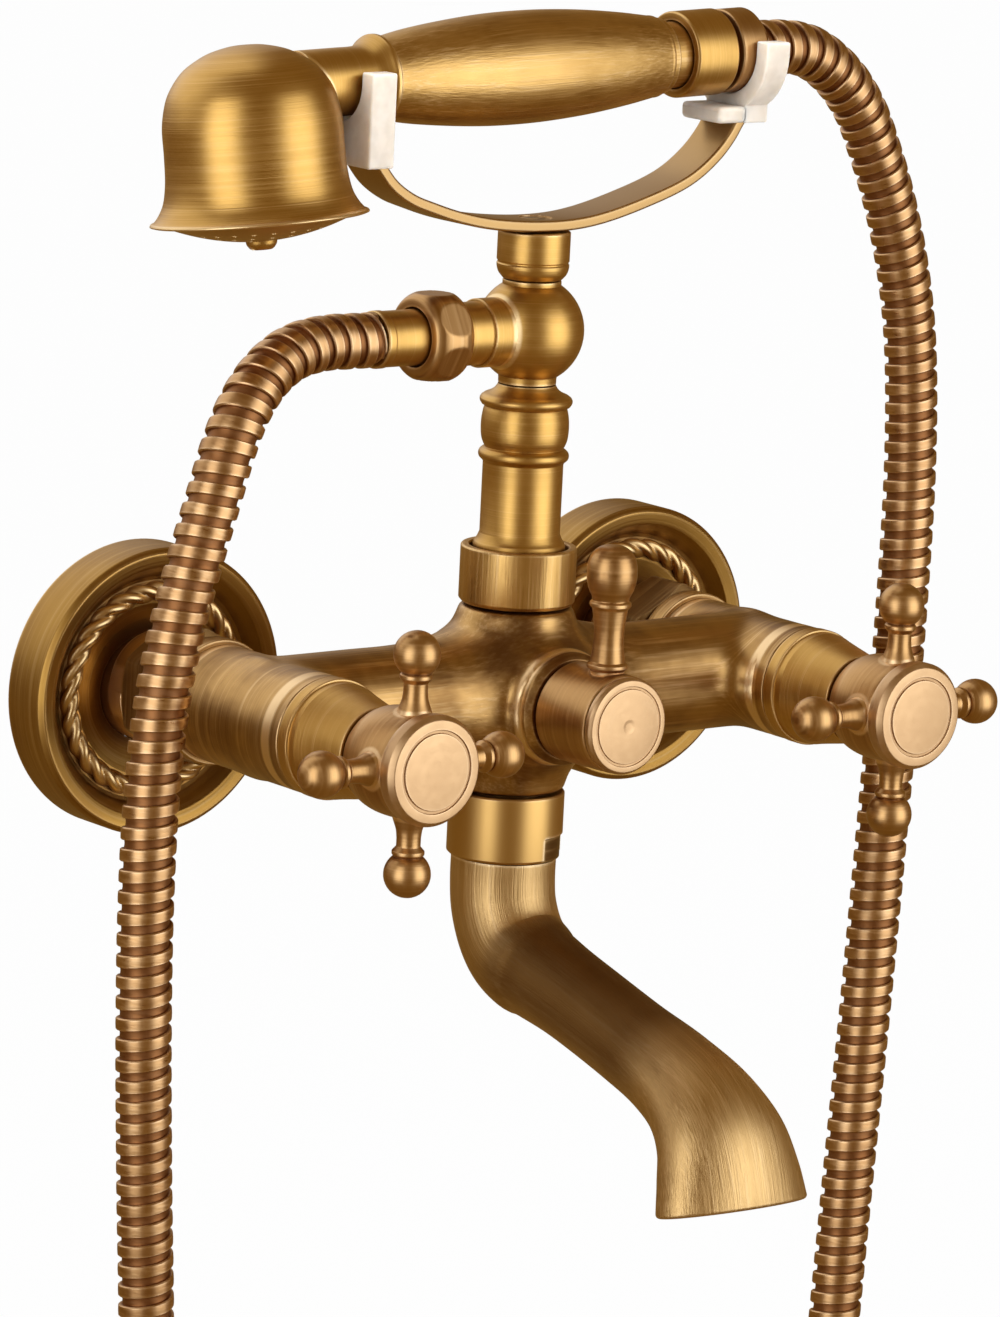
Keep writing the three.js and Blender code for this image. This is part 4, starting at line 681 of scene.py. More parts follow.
def makeHose(sizes):
    fine, length = evenly(throughPoints(sizes["route"], 60), sizes["samples"])
    along = np.linspace(0, length, len(fine))
    tangent = unit(np.gradient(fine, axis=0))
    up = unit(np.cross(tangent, (0, 1, 0)))
    across = np.cross(up, tangent)
    turns = round(length / sizes["pitch"])
    pitch = length / turns
    band, edge, outer, inner = sizes["band"], sizes["edge"] / pitch, sizes["radius"], sizes["groove"]
    # place in one turn, radius there, and how far it lies in the groove, which sets its painted shade
    flank = [(0, inner, 1), (sizes["lip"], outer - sizes["lipDrop"], sizes["lipShade"]),
             (edge, outer - sizes["crown"], 0)]
    shape = [*flank, (band / 2, outer, 0), *((band - place, radius, dark) for place, radius, dark in flank[::-1]),
             ((1 + band) / 2, inner - sizes["dip"], 1)]
    count = sizes["sides"]
    angles = fullTurn(count)
    points, grain, grooveShade = [], [], []

    def addRing(at, radius, dark):
        spot, a, u = (sampled(at, along, table) for table in (fine, across, up))
        side, rise = radius * np.cos(angles), radius * np.sin(angles)
        points.append(spot + side[:, None] * a + rise[:, None] * u)
        grain.append(np.column_stack([side, rise, at]))
        grooveShade.append(np.full(count, dark))

    for turn in range(-1, turns + 1):
        for phase, radius, dark in shape:
            at = (turn + phase + angles / (2 * math.pi)) * pitch
            inside = (at > sizes["endGap"]) & (at < length - sizes["endGap"])
            addRing(np.clip(at, 0, length), np.where(inside, radius, inner), dark)
    rows = len(points)
    skip = len(shape)
    faces = []
    for i in range(rows - 1):
        for j in range(count - 1):
            low, high = i * count + j, (i + 1) * count + j
            faces.append((low, low + 1, high + 1, high))
        if i + 1 + skip < rows:
            low, high = (i + 1) * count - 1, (i + skip) * count
            faces.append((low, high, high + count, low + count))
    for at in np.linspace(0, length, turns):
        # the bore is fully in painted shade
        addRing(np.full(count, at), np.full(count, sizes["bore"]), 1.0)
    for i in range(rows, len(points) - 1):
        for j in range(count):
            k = (j + 1) % count
            faces.append((i * count + k, i * count + j, (i + 1) * count + j, (i + 1) * count + k))
    bottom, top, last = rows * count, (rows - 1) * count, (len(points) - 1) * count
    for j in range(count):
        k = (j + 1) % count
        faces.append((bottom + j, bottom + k, k, j))
        faces.append((top + j, top + k, last + k, last + j))
    piece = makeMesh("showerHose", np.vstack(points), faces, np.vstack(grain), grooveShade=np.concatenate(grooveShade))
    step = piece.modifiers.new("weld", "WELD")
    step.merge_threshold = sizes["weld"]
    piece.data = settled(piece)
    piece.modifiers.clear()
    fit(piece, None, "hoseBrass", "hose_brass", "shower_hose")
    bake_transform(piece)
    return piece, evenly(fine, sizes["shared"])[0] * mm, length * mm


hosePiece, hosePath, hoseLength = makeHose(hose)
print("hose made", round(hoseLength, 4))


# Wall side: flanges, eccentric unions and their nuts

valves = {"left": -75, "right": 75}
flange = {"drop": 2, "ropeRadius": 24.5, "ropeHalf": 2.6, "ropeBase": 9.6, "ropeTurns": 9, "strand": 1.42}
nut = {"flats": 30, "low": 18, "high": 33, "chamfer": 1.6, "endShare": 0.975, "cornerTurn": 0.035}


# Three strands twisted round a ring
def makeRope(name, sizes, place, rows=378, count=36):
    ring = fullTurn(rows)
    line = np.column_stack([np.cos(ring), np.sin(ring), np.zeros(rows)]) * sizes["ropeRadius"]
    line[:, 2] = sizes["ropeBase"]
    around = fullTurn(count)
    offset = sizes["ropeHalf"] - sizes["strand"]
    sections = []
    for a in ring:
        reach = np.zeros(count)
        for strand in range(3):
            turn = around - a * sizes["ropeTurns"] - strand * 2 * math.pi / 3
            across = offset * np.sin(turn)
            bulge = offset * np.cos(turn) + np.maximum(sizes["strand"]**2 - across**2, 0) ** 0.5
            reach = np.maximum(reach, np.where(abs(across) < sizes["strand"], bulge, 0))
        sections.append(np.column_stack([reach * np.cos(around), reach * np.sin(around)]))
    return swept(name, line, sections, (0, 0, 1), place, ring=True)


for side, x in valves.items():
    supply = facing("front", x, 0, -flange["drop"])
    valve = facing("front", x)
    fitTurned(side + "Dish", [
        [33, 0], [36, 0], [36, 12.9, 0.7], [34.7, 14.3, 0.6], [31.4, 13.5, 0.8], [28.4, 9.8, 0.6],
        [27.4, 9.3, 0.4], [21.6, 9.3, 0.4], [13.05, 6.4, 0.3], [13.05, 4.2], [21.9, 7.4], [33, 7.4],
    ], supply, "faucet", "flangeBrass", "aged_brass", side + "_wall_flange", count=144)
    rope = makeRope(side + "Rope", flange, supply)
    fit(rope, "faucet", "ropeBrass", "aged_brass", side + "_wall_flange")
    low = turned(side + "Low", [
        [7, -16], [10.4, -16, 0.8], [10.4, 4.2], [13, 4.2], [13, 15], [7, 15],
    ], supply)
    high = turned(side + "High", [[7, 10], [13, 10], [13, 26], [7, 26]], valve)
    fit(joined(side + "EccentricUnion", low, high), "faucet", "rosyBrass", "aged_brass",
        side + "_eccentric_union")
    unionNut = hexNut(side + "UnionNut", nut, [[10.9, 33], [10.9, 31.02], [13.3, 31], [13.3, 18]], valve)
    # painted shade on the union nut, which is given the darker shaded brass
    fit(unionNut, "faucet", "darkBrass", "dark_brass", side + "_union_nut")
print("wall side made")


# Cast body: turned forms blended where they meet, with crisp machined ends

body = {
    "reach": 57.7, "blend": 9, "voxel": 0.9, "rounds": 4, "pulls": 4, "pull": 0.8, "smoothing": 5,
    "arms": [
        [0, 20.2], [7.9, 20.2], [13, 19.2], [18.7, 16.9], [27.4, 15.1], [36, 14.5], [50, 14.5], [75, 14.5],
    ],
    "neck": [
        [-24, 13.9], [-19.2, 15.4], [-15.6, 17.8], [-11.6, 20.2], [11, 20.2], [15, 17.6], [17.9, 15.4],
        [22.4, 13.9],
    ],
    "boss": [[57.7, 20.2], [63, 20.0], [67.4, 18.9], [70.8, 16.6], [73.7, 14.9], [76.5, 14.1], [79.5, 14]],
    "barrel": [[38.3, 14.5], [58, 14.5], [79, 14.5]],
}
outlines = {key: [tuple(corner) for corner in throughPoints(body[key], 8)]
            for key in ("arms", "neck", "boss", "barrel")}


# Distance to a turned form, and the direction of that distance in the form's own half plane
def turnedDistance(radius, along, outline):
    place = np.column_stack([along, radius])
    best = np.full(len(place), np.inf)
    away = np.zeros((len(place), 2))
    corners = np.array([*outline, (outline[-1][0], 0)], float)
    if outline[0][0] != 0:
        corners = np.vstack([[(outline[0][0], 0)], corners])
    for a, b in zip(corners[:-1], corners[1:]):
        share = np.clip((place - a) @ (b - a) / max((b - a) @ (b - a), 1e-9), 0, 1)
        gap = place - a - share[:, None] * (b - a)
        far = np.linalg.norm(gap, axis=1)
        near = far < best
        best[near] = far[near]
        away[near] = gap[near]
    heights = np.interp(along, [c[0] for c in outline], [c[1] for c in outline])
    inside = (radius < heights) & (along >= outline[0][0]) & (along <= outline[-1][0])
    sign = np.where(inside, -1.0, 1.0)
    return best * sign, away / np.maximum(best, 1e-9)[:, None] * sign[:, None]


# Distance to the blended body, and its direction; forms that meet squarely blend most
def bodyDistance(p, sizes):
    x, y, z = p[:, 0], p[:, 1], p[:, 2]
    out, side, sign = y + sizes["reach"], abs(x) - valves["right"], np.sign(x)
    total = normal = None
    for key, radial, along in (
        ("arms", (out, z), abs(x)), ("barrel", (side, z), -y), ("neck", (x, out), z), ("boss", (x, z), -y),
    ):
        radius = np.maximum(np.hypot(*radial), 1e-9)
        gap, away = turnedDistance(radius, along, outlines[key])
        run, one, two = away[:, 0], away[:, 1] * radial[0] / radius, away[:, 1] * radial[1] / radius
        other = np.column_stack({
            "arms": (run * sign, one, two), "barrel": (one * sign, -run, two),
            "neck": (one, two, run), "boss": (one, -run, two),
        }[key])
        if total is None:
            total, normal = gap, other
            continue
        reach = sizes["blend"] * np.clip(1 - np.sum(normal * other, axis=1), 0.001, 1)
        share = np.clip(0.5 + 0.5 * (gap - total) / reach, 0, 1)
        total = gap * (1 - share) + total * share - reach * share * (1 - share)
        normal = unit(other * (1 - share)[:, None] + normal * share[:, None])
    return total, normal


def lathe(name, outline, place):
    profile = [[0, outline[0][0]], *[[r, a, 0] for a, r in outline], [0, outline[-1][0]]]
    return turned(name, profile, place, count=64)


def makeBody(sizes):
    arms = [(-a, r) for a, r in reversed(outlines["arms"][1:])] + outlines["arms"]
    blank = joined(
        "bodyBlank",
        lathe("arms", arms, facing("right", 0, -sizes["reach"])),
        *(lathe(side + "Barrel", outlines["barrel"], facing("front", x)) for side, x in valves.items()),
        lathe("neck", outlines["neck"], facing("up", 0, -sizes["reach"])),
        lathe("boss", outlines["boss"], facing("front")),
    )
    step = blank.modifiers.new("skin", "REMESH")
    step.mode = "VOXEL"
    step.voxel_size = sizes["voxel"] * mm
    skin = settled(blank)
    bpy.data.objects.remove(blank)
    spots = np.array([v.co for v in skin.vertices]) / mm
    links = np.array([edge.vertices for edge in skin.edges])
    links = np.vstack([links, links[:, ::-1]])
    neighbours = np.bincount(links[:, 0], minlength=len(spots))[:, None]
    for _ in range(sizes["rounds"]):
        for _ in range(sizes["pulls"]):
            gap, normal = bodyDistance(spots, sizes)
            spots -= np.clip(gap, -1, 1)[:, None] * normal * sizes["pull"]
        for _ in range(sizes["smoothing"]):
            near = [np.bincount(links[:, 0], spots[links[:, 1], k], len(spots)) for k in range(3)]
            spots = (spots + np.stack(near, 1) / neighbours) / 2
    return makeMesh("bodySkin", spots, [tuple(face.vertices) for face in skin.polygons], spots)


def bodyEnds(side, x):
    place = facing("front", x)
    tail = turned(side + "Tail", [
        [7.5, 28], [13, 28], [13, 30.7], [10.6, 30.7], [10.6, 33.3], [15.6, 33.3, 0.7], [15.6, 38.3, 0.7],
        [14.3, 38.3, 0.2], [14.3, 41], [7.5, 41],
    ], place)
    rim = turned(side + "Rim", [[10.3, 76], [14.52, 76, 0], [14.52, 82, 0.5], [10.3, 82]], place)
    return tail, rim


upright = facing("up", 0, -body["reach"])
faucetBody = joined(
    "faucetBody", makeBody(body), *(end for side, x in valves.items() for end in bodyEnds(side, x)),
    turned("stub", [
        [7.5, -22], [10.5, -22], [10.5, -29.8], [12.3, -29.8], [12.3, -30.9], [10.8, -30.9], [10.8, -33.1],
        [12.3, -33.1], [12.3, -34.2], [7.5, -34.2],
    ], upright),
    turned("bossRim", [[10.3, 77], [14.02, 77, 0], [14.02, 80.6, 0.6], [12.6, 82, 0.4], [10.3, 82]],
           facing("front")),
)
fit(faucetBody, "faucet", "castBrass", "aged_brass", "faucet_body")
print("body made")


# Valves: bonnet, cross handle and cap on each side

cross = {"plane": 116.2, "reach": 26.4, "ball": 5.65}


def makeSpoke(name, place):
    return turned(name, [
        [0, 9.5], [4.6, 9.5, 0], *flow([[4.6, 11.4], [3.9, 13.4], [3.15, 15.6], [2.9, 17.6]]),
        [2.9, 19.6, 0.3], [3.9, 20.7, 0.35], [3.9, 21.5, 0.35], [3.3, 22.1, 0.2],
        *ballArc(cross["ball"], cross["reach"], -48, 90),
    ], place, usual=0.2, count=64)


for side, x in valves.items():
    valve = facing("front", x)
    fitTurned(side + "Bonnet", [
        [10.3, 82.3], [14.7, 82.3, 0.5], [14.7, 85.9, 0.6], [14.1, 86.0, 0.2], [14.1, 88.2, 0.4],
        *flow([[13.9, 88.9], [13.1, 92.6], [12.3, 96.6], [11.5, 100.6], [11.2, 102.2]]), [11.1, 102.7, 0.3],
        [7.3, 102.7], [7.3, 98.5], [10.3, 98.5],
    ], valve, "faucet", "turnedBrass", "aged_brass", side + "_valve_bonnet")
    hub = turned(side + "Hub", [
        [2.2, 113], [4.3, 113], [4.3, 103], [10.3, 103, 0.4],
        *flow([
            [10.7, 103.4], [11.6, 104.7], [12.54, 106.9], [13.1, 110], [13.2, 113.6], [13.0, 117],
            [12.7, 120.2],
        ]),
        [12.5, 120.7, 0.4], [8.3, 120.7, 0.2], [8.3, 116.8], [2.2, 116.8],
    ], valve)
    middle = Matrix.Translation((x, -cross["plane"], 0))
    spokes = [makeSpoke(side + "Spoke", middle @ Matrix.Rotation(k * math.pi / 2, 4, "Y")) for k in range(4)]
    fit(joined(side + "CrossHandle", hub, *spokes), side + "_handle", "rosyBrass", "aged_brass",
        side + "_cross_handle")
    fitTurned(side + "Cap", [
        [0, 118.8], [7.9, 118.8], [7.9, 121], [13.2, 121, 0.3], [13.4, 122.2, 0.5], [13.4, 124.4, 0.9],
        [12.3, 125.8, 0.5], [10.1, 125.9, 0.1], [10, 125.5, 0.05], [9.3, 125.5, 0.05], [9.2, 125.93, 0.1],
        [0, 126.15],
    ], valve, side + "_handle", "capBrass", "satin_cap", side + "_handle_cap")
print("valves made")


# Diverter: hub with its upright lever

diverterHub = turned("diverterHub", [
    [2.2, 94.7], [4.3, 94.7], [4.3, 82.3], [11.6, 82.3, 0.3], [12.45, 83.3, 0.6], [12.45, 86, 0],
    [12.1, 101.2, 0.3], [11.8, 101.5, 0.2], [7.4, 101.5], [7.4, 98.1], [2.2, 98.1],
], facing("front"))
diverterStem = turned("diverterStem", [
    [0, 8.4], [4.2, 8.4, 0], [4.2, 12.4, 0.3], [5.1, 13.1, 0.4], [5.1, 13.95, 0.4], [4.25, 14.5, 0.3],
    *flow([[4.1, 15.6], [3.75, 19], [3.75, 22.5], [4.15, 26], [4.4, 27.6]]),
    [5.1, 28.3, 0.4], [5.1, 29.15, 0.4], [4.45, 29.7, 0.3],
    *flow([
        [4.7, 30.6], [5.6, 32.6], [6.1, 34.8], [6.2, 36.6], [6.0, 38.8], [5.2, 40.9], [3.9, 42.3],
        [2.2, 43.1], [0, 43.3],
    ]),
], facing("up", 0, -94.6), usual=0.2, count=64)
fit(joined("diverterLever", diverterHub, diverterStem), "diverter", "rosyBrass", "aged_brass",
    "diverter_lever")
fitTurned("diverterCap", [
    [0, 100.3], [7.1, 100.3], [7.1, 101.8], [11.9, 101.8, 0.2], [12, 103.1, 0.6], [11.3, 103.95, 0.4],
    [10, 104, 0.1], [9.9, 103.7, 0.05], [9.3, 103.7, 0.05], [9.2, 104.03, 0.1], [1.8, 104.25, 0.5],
    [1, 104.12, 0.5], [0, 104.1],
], facing("front"), "diverter", "capBrass", "satin_cap", "diverter_cap")
print("diverter made")


# Column: collar nut, riser, ball with its outlet, and the cradle's post

fitTurned("topCollar", [
    [10.25, 22.7], [13.6, 22.7, 0.3], [14.4, 23.6, 0.5], [14.4, 36.6, 0.3], [14.1, 37, 0.2], [12.5, 37, 0.2],
    [12.3, 36.6, 0.2], [12.3, 33.4], [10.25, 33.4],
], upright, "faucet", "drawnBrass", "aged_brass", "top_collar_nut")
fitTurned("riser", [
    [5.2, 14.2], [8.2, 14.2], [8.2, 17.3], [6.5, 17.3], [6.5, 19.5], [8.2, 19.5], [8.2, 22.7], [9.95, 22.7],
    [9.95, 35.2], [11.2, 35.2, 0.3],
    *flow([[11.3, 35.7], [11.45, 36.6], [11.3, 37.6], [10.6, 38.7], [9.95, 40.2]]), [9.95, 57.8, 0.3],
    *flow([[10.4, 58.3], [11, 58.9], [11.2, 59.7], [11, 60.5], [10.4, 61.1]]), [9.7, 61.5, 0.2],
    *flow([[10.1, 62.2], [10.6, 63.6], [10.85, 65.8], [10.8, 68.4], [10.45, 70.6], [10.15, 71.6]]),
    *flow([[10.9, 72.0], [11.35, 72.7], [11.45, 73.4], [11.1, 74.1]]),
    *flow([[10.4, 74.6], [9, 75.2], [7.9, 76], [7.25, 76.9]]), [7.15, 77.2, 0], [5, 77.2], [5, 83.2],
    [3.8, 83.2], [3.8, 73], [5.2, 72],
], upright, "faucet", "turnedBrass", "aged_brass", "riser_column")
outlet = facing("left", 0, -body["reach"], 90.6)
ballBody = turned("ballBody", [
    [5.3, 84.5], [5.3, 77.5], [7.15, 77.5, 0.2], [7.15, 78.6, 0], *ballArc(13.4, 90.6, -57.3, 57.3, 24),
    [7.25, 102.2, 0], [7.25, 103.1, 0.3], [3.9, 103.1], [3.9, 97.3],
], upright)
ballOutlet = turned("ballOutlet", [
    [5.3, 9], [8.5, 9], [8.5, 16.6, 0.3], [7.8, 16.6, 0.1], [7.8, 26.2, 0.3], [5.3, 26.2],
], outlet)
fit(joined("ballTee", ballBody, ballOutlet), "faucet", "turnedBrass", "aged_brass", "ball_outlet_tee")
fitTurned("post", [
    [0, 97.9], [3.6, 97.9], [3.6, 103.4], [7.3, 103.4, 0.2],
    *flow([[7.6, 103.7], [8.4, 104.7], [8.85, 106], [8.95, 107]]), [8.7, 107.3, 0.1], [8.7, 107.6, 0.1],
    [8.95, 107.9, 0.1], [8.95, 115.2, 0.4], [2.2, 115.2],
    [2.2, 106.2], [0, 106.2],
], upright, "faucet", "turnedBrass", "aged_brass", "cradle_post")
slot = plate("slot", rectangle(3.2, 0.45), 1.6, 0.02, facing("up", 0, -body["reach"], 118.1), usual=0)
cradleScrew = cutAway(turned("cradleScrew", [
    [0, 106.5], [1.9, 106.5], [1.9, 116.1], [3.8, 118.0, 0.1], [3.7, 118.1, 0.1], [0, 118.1],
], upright), slot)
fit(cradleScrew, "faucet", "darkBrass", "plain_steel", "cradle_screw")
outletNut = barrelNut("outletNut", 21, [
    [8.9, 24.2], [9.5, 24.4], [10.5, 25.4], [11.2, 27], [11.45, 28.8], [11.35, 31], [11.1, 32.8],
    [10.5, 34.4], [9.5, 35.6], [8.9, 35.8],
], [[7.35, 35.8], [7.35, 31.02], [8.6, 31], [8.6, 24.2]], outlet)
fit(outletNut, "faucet", "rosyBrass", "aged_brass", "hose_outlet_nut")
fitTurned("ferrule", [
    [4.6, 28.2], [8.3, 28.2], [8.3, 30.2], [7.05, 30.2], [7.05, 34.6, 0.2], [6.85, 34.9, 0.1],
    [6.85, 45.6, 0.1], [7.05, 45.9, 0.2], [7.05, 48, 0.4], [4.6, 48],
], outlet, "faucet", "turnedBrass", "aged_brass", "hose_ferrule")
print("column made")


# Cradle: bent strap with two forks, and a plastic saddle on each

cradle = {
    "base": 116.9, "thickness": 2.8, "width": 13.5, "fork": 1.6, "forkLength": 3.4, "rise": 3.3,
    "left": {
        "x": -58.15, "inner": 9.4, "outer": 13.9, "bottom": 134, "foot": 13.9,
        "arm": [[0, 0], [0.3, 0.05], [0.48, 0.135], [0.62, 0.235], [0.73, 0.33], [0.83, 0.48], [0.905, 0.68],
                [0.955, 0.84], [1, 1]],
    },
    "right": {
        "x": 62.2, "inner": 10.7, "outer": 15.2, "bottom": 140.4, "foot": 7.8,
        "shelfX": 55, "shelfHeight": 4.1,
        "arm": [[0, 0], [0.21, 0.03], [0.46, 0.16], [0.7, 0.35], [0.83, 0.55], [0.9, 0.72], [0.932, 0.83],
                [0.962, 0.92], [1, 1]],
    },
}
shower = {"height": 155.6, "tilt": 2.1, "roll": 6.8, "bellX": -86.9, "bellDrop": 31, "lean": 1.5}


def axisHeight(x):
    return shower["height"] + x * math.tan(math.radians(shower["tilt"]))


def arc(radius, start, end, steps=20):
    angles = np.radians(np.linspace(start, end, steps))
    return [[radius * math.cos(a), radius * math.sin(a), 0] for a in angles]


# Place of a plate that stands across the hand shower, its outline measured from the axis
def acrossShower(x):
    turn = Matrix(((0, 0, 1), (1, 0, 0), (0, 1, 0))).to_4x4()
    return Matrix.Translation((x, -body["reach"], axisHeight(x))) @ turn


def forkOutline(inner, outer, rise):
    return [[outer, rise], [inner, rise], *arc(inner, 0, -180), [-inner, rise], [-outer, rise],
            *arc(outer, -180, 0)]


def makeStrap(sizes):
    halves = []
    for side in ("left", "right"):
        end = sizes[side]
        top = axisHeight(end["x"]) - (end["inner"] + end["outer"]) / 2
        halves.append([[run * end["x"], -body["reach"], sizes["base"] + rise * (top - sizes["base"])]
                       for run, rise in end["arm"]])
    line, _ = evenly(throughPoints(halves[0][::-1] + halves[1][1:], 20), 160)
    section = softened(rectangle(sizes["width"] / 2, sizes["thickness"] / 2), True, 0.8)
    ribbon = cutAway(swept("ribbon", line, [section] * len(line), (0, 1, 0)), turned("strapHole", [
        [0, 110], [2.2, 110, 0], [2.2, 116.1, 0], [4.1, 118.1, 0], [4.1, 122, 0], [0, 122],
    ], upright, count=48))
    forks = []
    for side in ("left", "right"):
        end = sizes[side]
        radius = (end["inner"] + end["outer"]) / 2
        outline = forkOutline(radius - sizes["fork"] / 2, radius + sizes["fork"] / 2, sizes["rise"] / 3)
        place = acrossShower(end["x"])
        forks.append(plate(side + "Fork", outline, sizes["forkLength"], 0.3, place, usual=0.3))
    return joined("cradleStrap", ribbon, *forks)


def makeSaddle(side, sizes):
    end = sizes[side]
    low = end["bottom"] - axisHeight(end["x"])
    inner, outer, foot, rise = end["inner"], end["outer"], end["foot"], sizes["rise"]
    if foot < outer:
        turn = math.degrees(math.acos(foot / outer))
        below = [*arc(outer, -180, -180 + turn, 8), [-foot, low, 0.6], [foot, low, 0.6],
                 *arc(outer, -turn, 0, 8)]
    else:
        below = [[-outer, low, 0.8], [outer, low, 0.8]]
    outline = [[outer, rise, 0.7], [inner, rise, 0.5], *arc(inner, 0, -180, 32), [-inner, rise, 0.5],
               [-outer, rise, 0.7], *below]
    return plate(side + "Saddle", outline, 7.4, 0.5, acrossShower(end["x"]), usual=0.5)


def makeShelf(sizes):
    end = sizes["right"]
    foot, low = end["foot"], end["bottom"] - axisHeight(end["shelfX"])
    top = low + end["shelfHeight"]
    outline = [[-foot, low, 1.6], [foot, low, 1.6], [foot, top, 1.2], [-foot, top, 1.2]]
    return plate("shelf", outline, 9, 1.2, acrossShower(end["shelfX"]), usual=0.5)


fit(makeStrap(cradle), "faucet", "strapBrass", "dark_brass", "cradle_strap")
fit(makeSaddle("left", cradle), "faucet", "milkyPlastic", "milky_plastic", "left_saddle")
fit(joined("rightSaddle", makeSaddle("right", cradle), makeShelf(cradle)), "faucet", "milkyPlastic",
    "milky_plastic", "right_saddle")
print("cradle made")


# Hand shower

showerPlace = (Matrix.Translation((0, -body["reach"], shower["height"]))
               @ Matrix.Rotation(math.radians(-shower["tilt"]), 4, "Y")
               @ Matrix.Rotation(math.radians(-shower["roll"]), 4, "X"))
bellPlace = (showerPlace @ Matrix.Translation((shower["bellX"], 0, -shower["bellDrop"]))
             @ Matrix.Rotation(math.radians(-shower["lean"]), 4, "Y"))
alongGrip = showerPlace @ facing("right")
bell = {
    "rim": 26.2, "waist": 21.4, "height": 41.4,
    "flare": [[0.03, 0.76], [0.06, 0.55], [0.127, 0.25], [0.24, 0.06], [0.4, 0], [0.56, -0.01]],
    "crown": [[0.66, 0.965], [0.74, 0.915], [0.82, 0.82], [0.88, 0.715], [0.93, 0.57], [0.967, 0.42]],
}


def makeBell(sizes):
    waist, step, height = sizes["waist"], sizes["rim"] - sizes["waist"], sizes["height"]
    flare = [[waist + out * step, up * height] for up, out in sizes["flare"]]
    crown = [[share * waist, up * height] for up, share in sizes["crown"]]
    outer = throughPoints(flare + crown + [[3.4, height - 0.05], [0, height]], 8)
    shell = turned("bellShell", [
        [0, height - 2.2], [7.5, height - 3.8, 2], [15.5, 32, 3], [19.2, 22, 2], [19.2, 2.4, 0.2],
        [22.9, 2.4, 0.2], [22.9, 0.2, 0.2], [25.2, 0, 0.3], [26.2, 0.3, 0.4], [25.9, 0.9, 0.3],
        *[[x, y, 0] for x, y in outer],
    ], bellPlace, count=144)
    neck = turned("bellNeck", [
        [5, -74], [8.2, -74], *flow([[8.2, -62], [8.2, -57.5], [8.45, -55.6], [9.1, -54], [10, -52.6]]),
        [10.6, -51.9, 0.4], [10.8, -51.5, 0.3], [10.8, -50.5, 0.3], [7.4, -50.5], [7.4, -44.5], [5, -44.5],
    ], alongGrip)
    return joined("handsetBell", shell, neck)


sprayFace = {
    "radius": 22.6, "top": 2.1, "dome": 4.9, "thickness": 1.8, "hole": 0.55,
    "rings": [[7.5, 10], [12, 16], [16.5, 22]],
}


def makeSprayFace(sizes):
    radius, dome, thick = sizes["radius"], sizes["dome"], sizes["thickness"]
    under = [[radius * s, -dome * (1 - s * s), 0] for s in np.linspace(1, 2.3 / radius, 16)]
    over = [[r, z + thick, 0] for r, z, _ in under[::-1] if r < radius - thick]
    disc = turned("sprayPlate", [
        [radius, sizes["top"], 0.2], *under, *over, [radius - thick, sizes["top"], 0.2],
    ], bellPlace, usual=0.2)
    holes = []
    for ring, number in sizes["rings"]:
        for k in range(number):
            a = 2 * math.pi * k / number
            spot = Matrix.Translation((ring * math.cos(a), ring * math.sin(a), 0))
            profile = [[0, -8], [sizes["hole"], -8, 0], [sizes["hole"], 4, 0], [0, 4]]
            holes.append(turned("hole", profile, bellPlace @ spot, count=10))
    return cutAway(disc, joined("holes", *holes))


fit(makeBell(bell), "handset", "turnedBrass", "aged_brass", "handset_bell")
fit(makeSprayFace(sprayFace), "handset", "turnedBrass", "aged_brass", "spray_plate")
screwSlot = plate("screwSlot", rectangle(4.5, 0.5), 2, 0.02, bellPlace @ Matrix.Translation((0, 0, -6.9)),
                  usual=0)
sprayScrew = cutAway(turned("sprayScrew", [
    [0, -6.9], [2.4, -6.9, 0.5], *flow([[3.0, -6.5], [3.6, -5.6], [3.8, -4.7]]), [3.8, -3.9, 0.2], [2, -3.9],
    [2, 2.1], [0, 2.1],
], bellPlace, count=64), screwSlot)
fit(sprayScrew, "handset", "turnedBrass", "aged_brass", "spray_plate_screw")
fitTurned("grip", [
    [7.7, -50.2], [9.6, -50.2, 0.3], [9.9, -49.9, 0.2],
    *flow([
        [9.95, -49.4], [11.36, -41.4], [12.67, -30.1], [13.52, -18.8], [13.75, -10], [13.6, -0.3],
        [12.83, 12], [11.44, 24.3], [10.5, 30.5], [10.1, 33],
    ]),
    [10.15, 33.4, 0], [9.9, 34, 0.2], [9.5, 34, 0.2], [9.5, 36, 0.5], [8.2, 36, 0.2], [8.2, 53.9],
    [7, 53.9], [7, 56.6], [4.6, 56.6], [4.6, 53.9], [5.6, 53.9], [5.6, -44.2], [7.7, -44.2],
], alongGrip, "handset", "drawnBrass", "aged_brass", "handset_grip")
fitTurned("sleeve", [
    [8.5, 40.6], [10.4, 40.6, 0.3], [10.7, 41.1, 0.4], [10.7, 53.1, 0.4], [10.4, 53.6, 0.3], [8.5, 53.6],
], alongGrip, "handset", "turnedBrass", "aged_brass", "grip_sleeve")
fitTurned("hoseNut", [
    [7.3, 55.3], [10.2, 55.3, 0.3], [10.4, 55.7, 0.3], [10.4, 62.8, 0.5], [8.9, 64.5, 0.4], [7.3, 64.5],
    [7.3, 59.1], [4.4, 59.1], [4.4, 57.9], [7.3, 57.9],
], alongGrip, "handset", "rosyBrass", "aged_brass", "hose_nut")
print("hand shower made")


# Spout and its collar

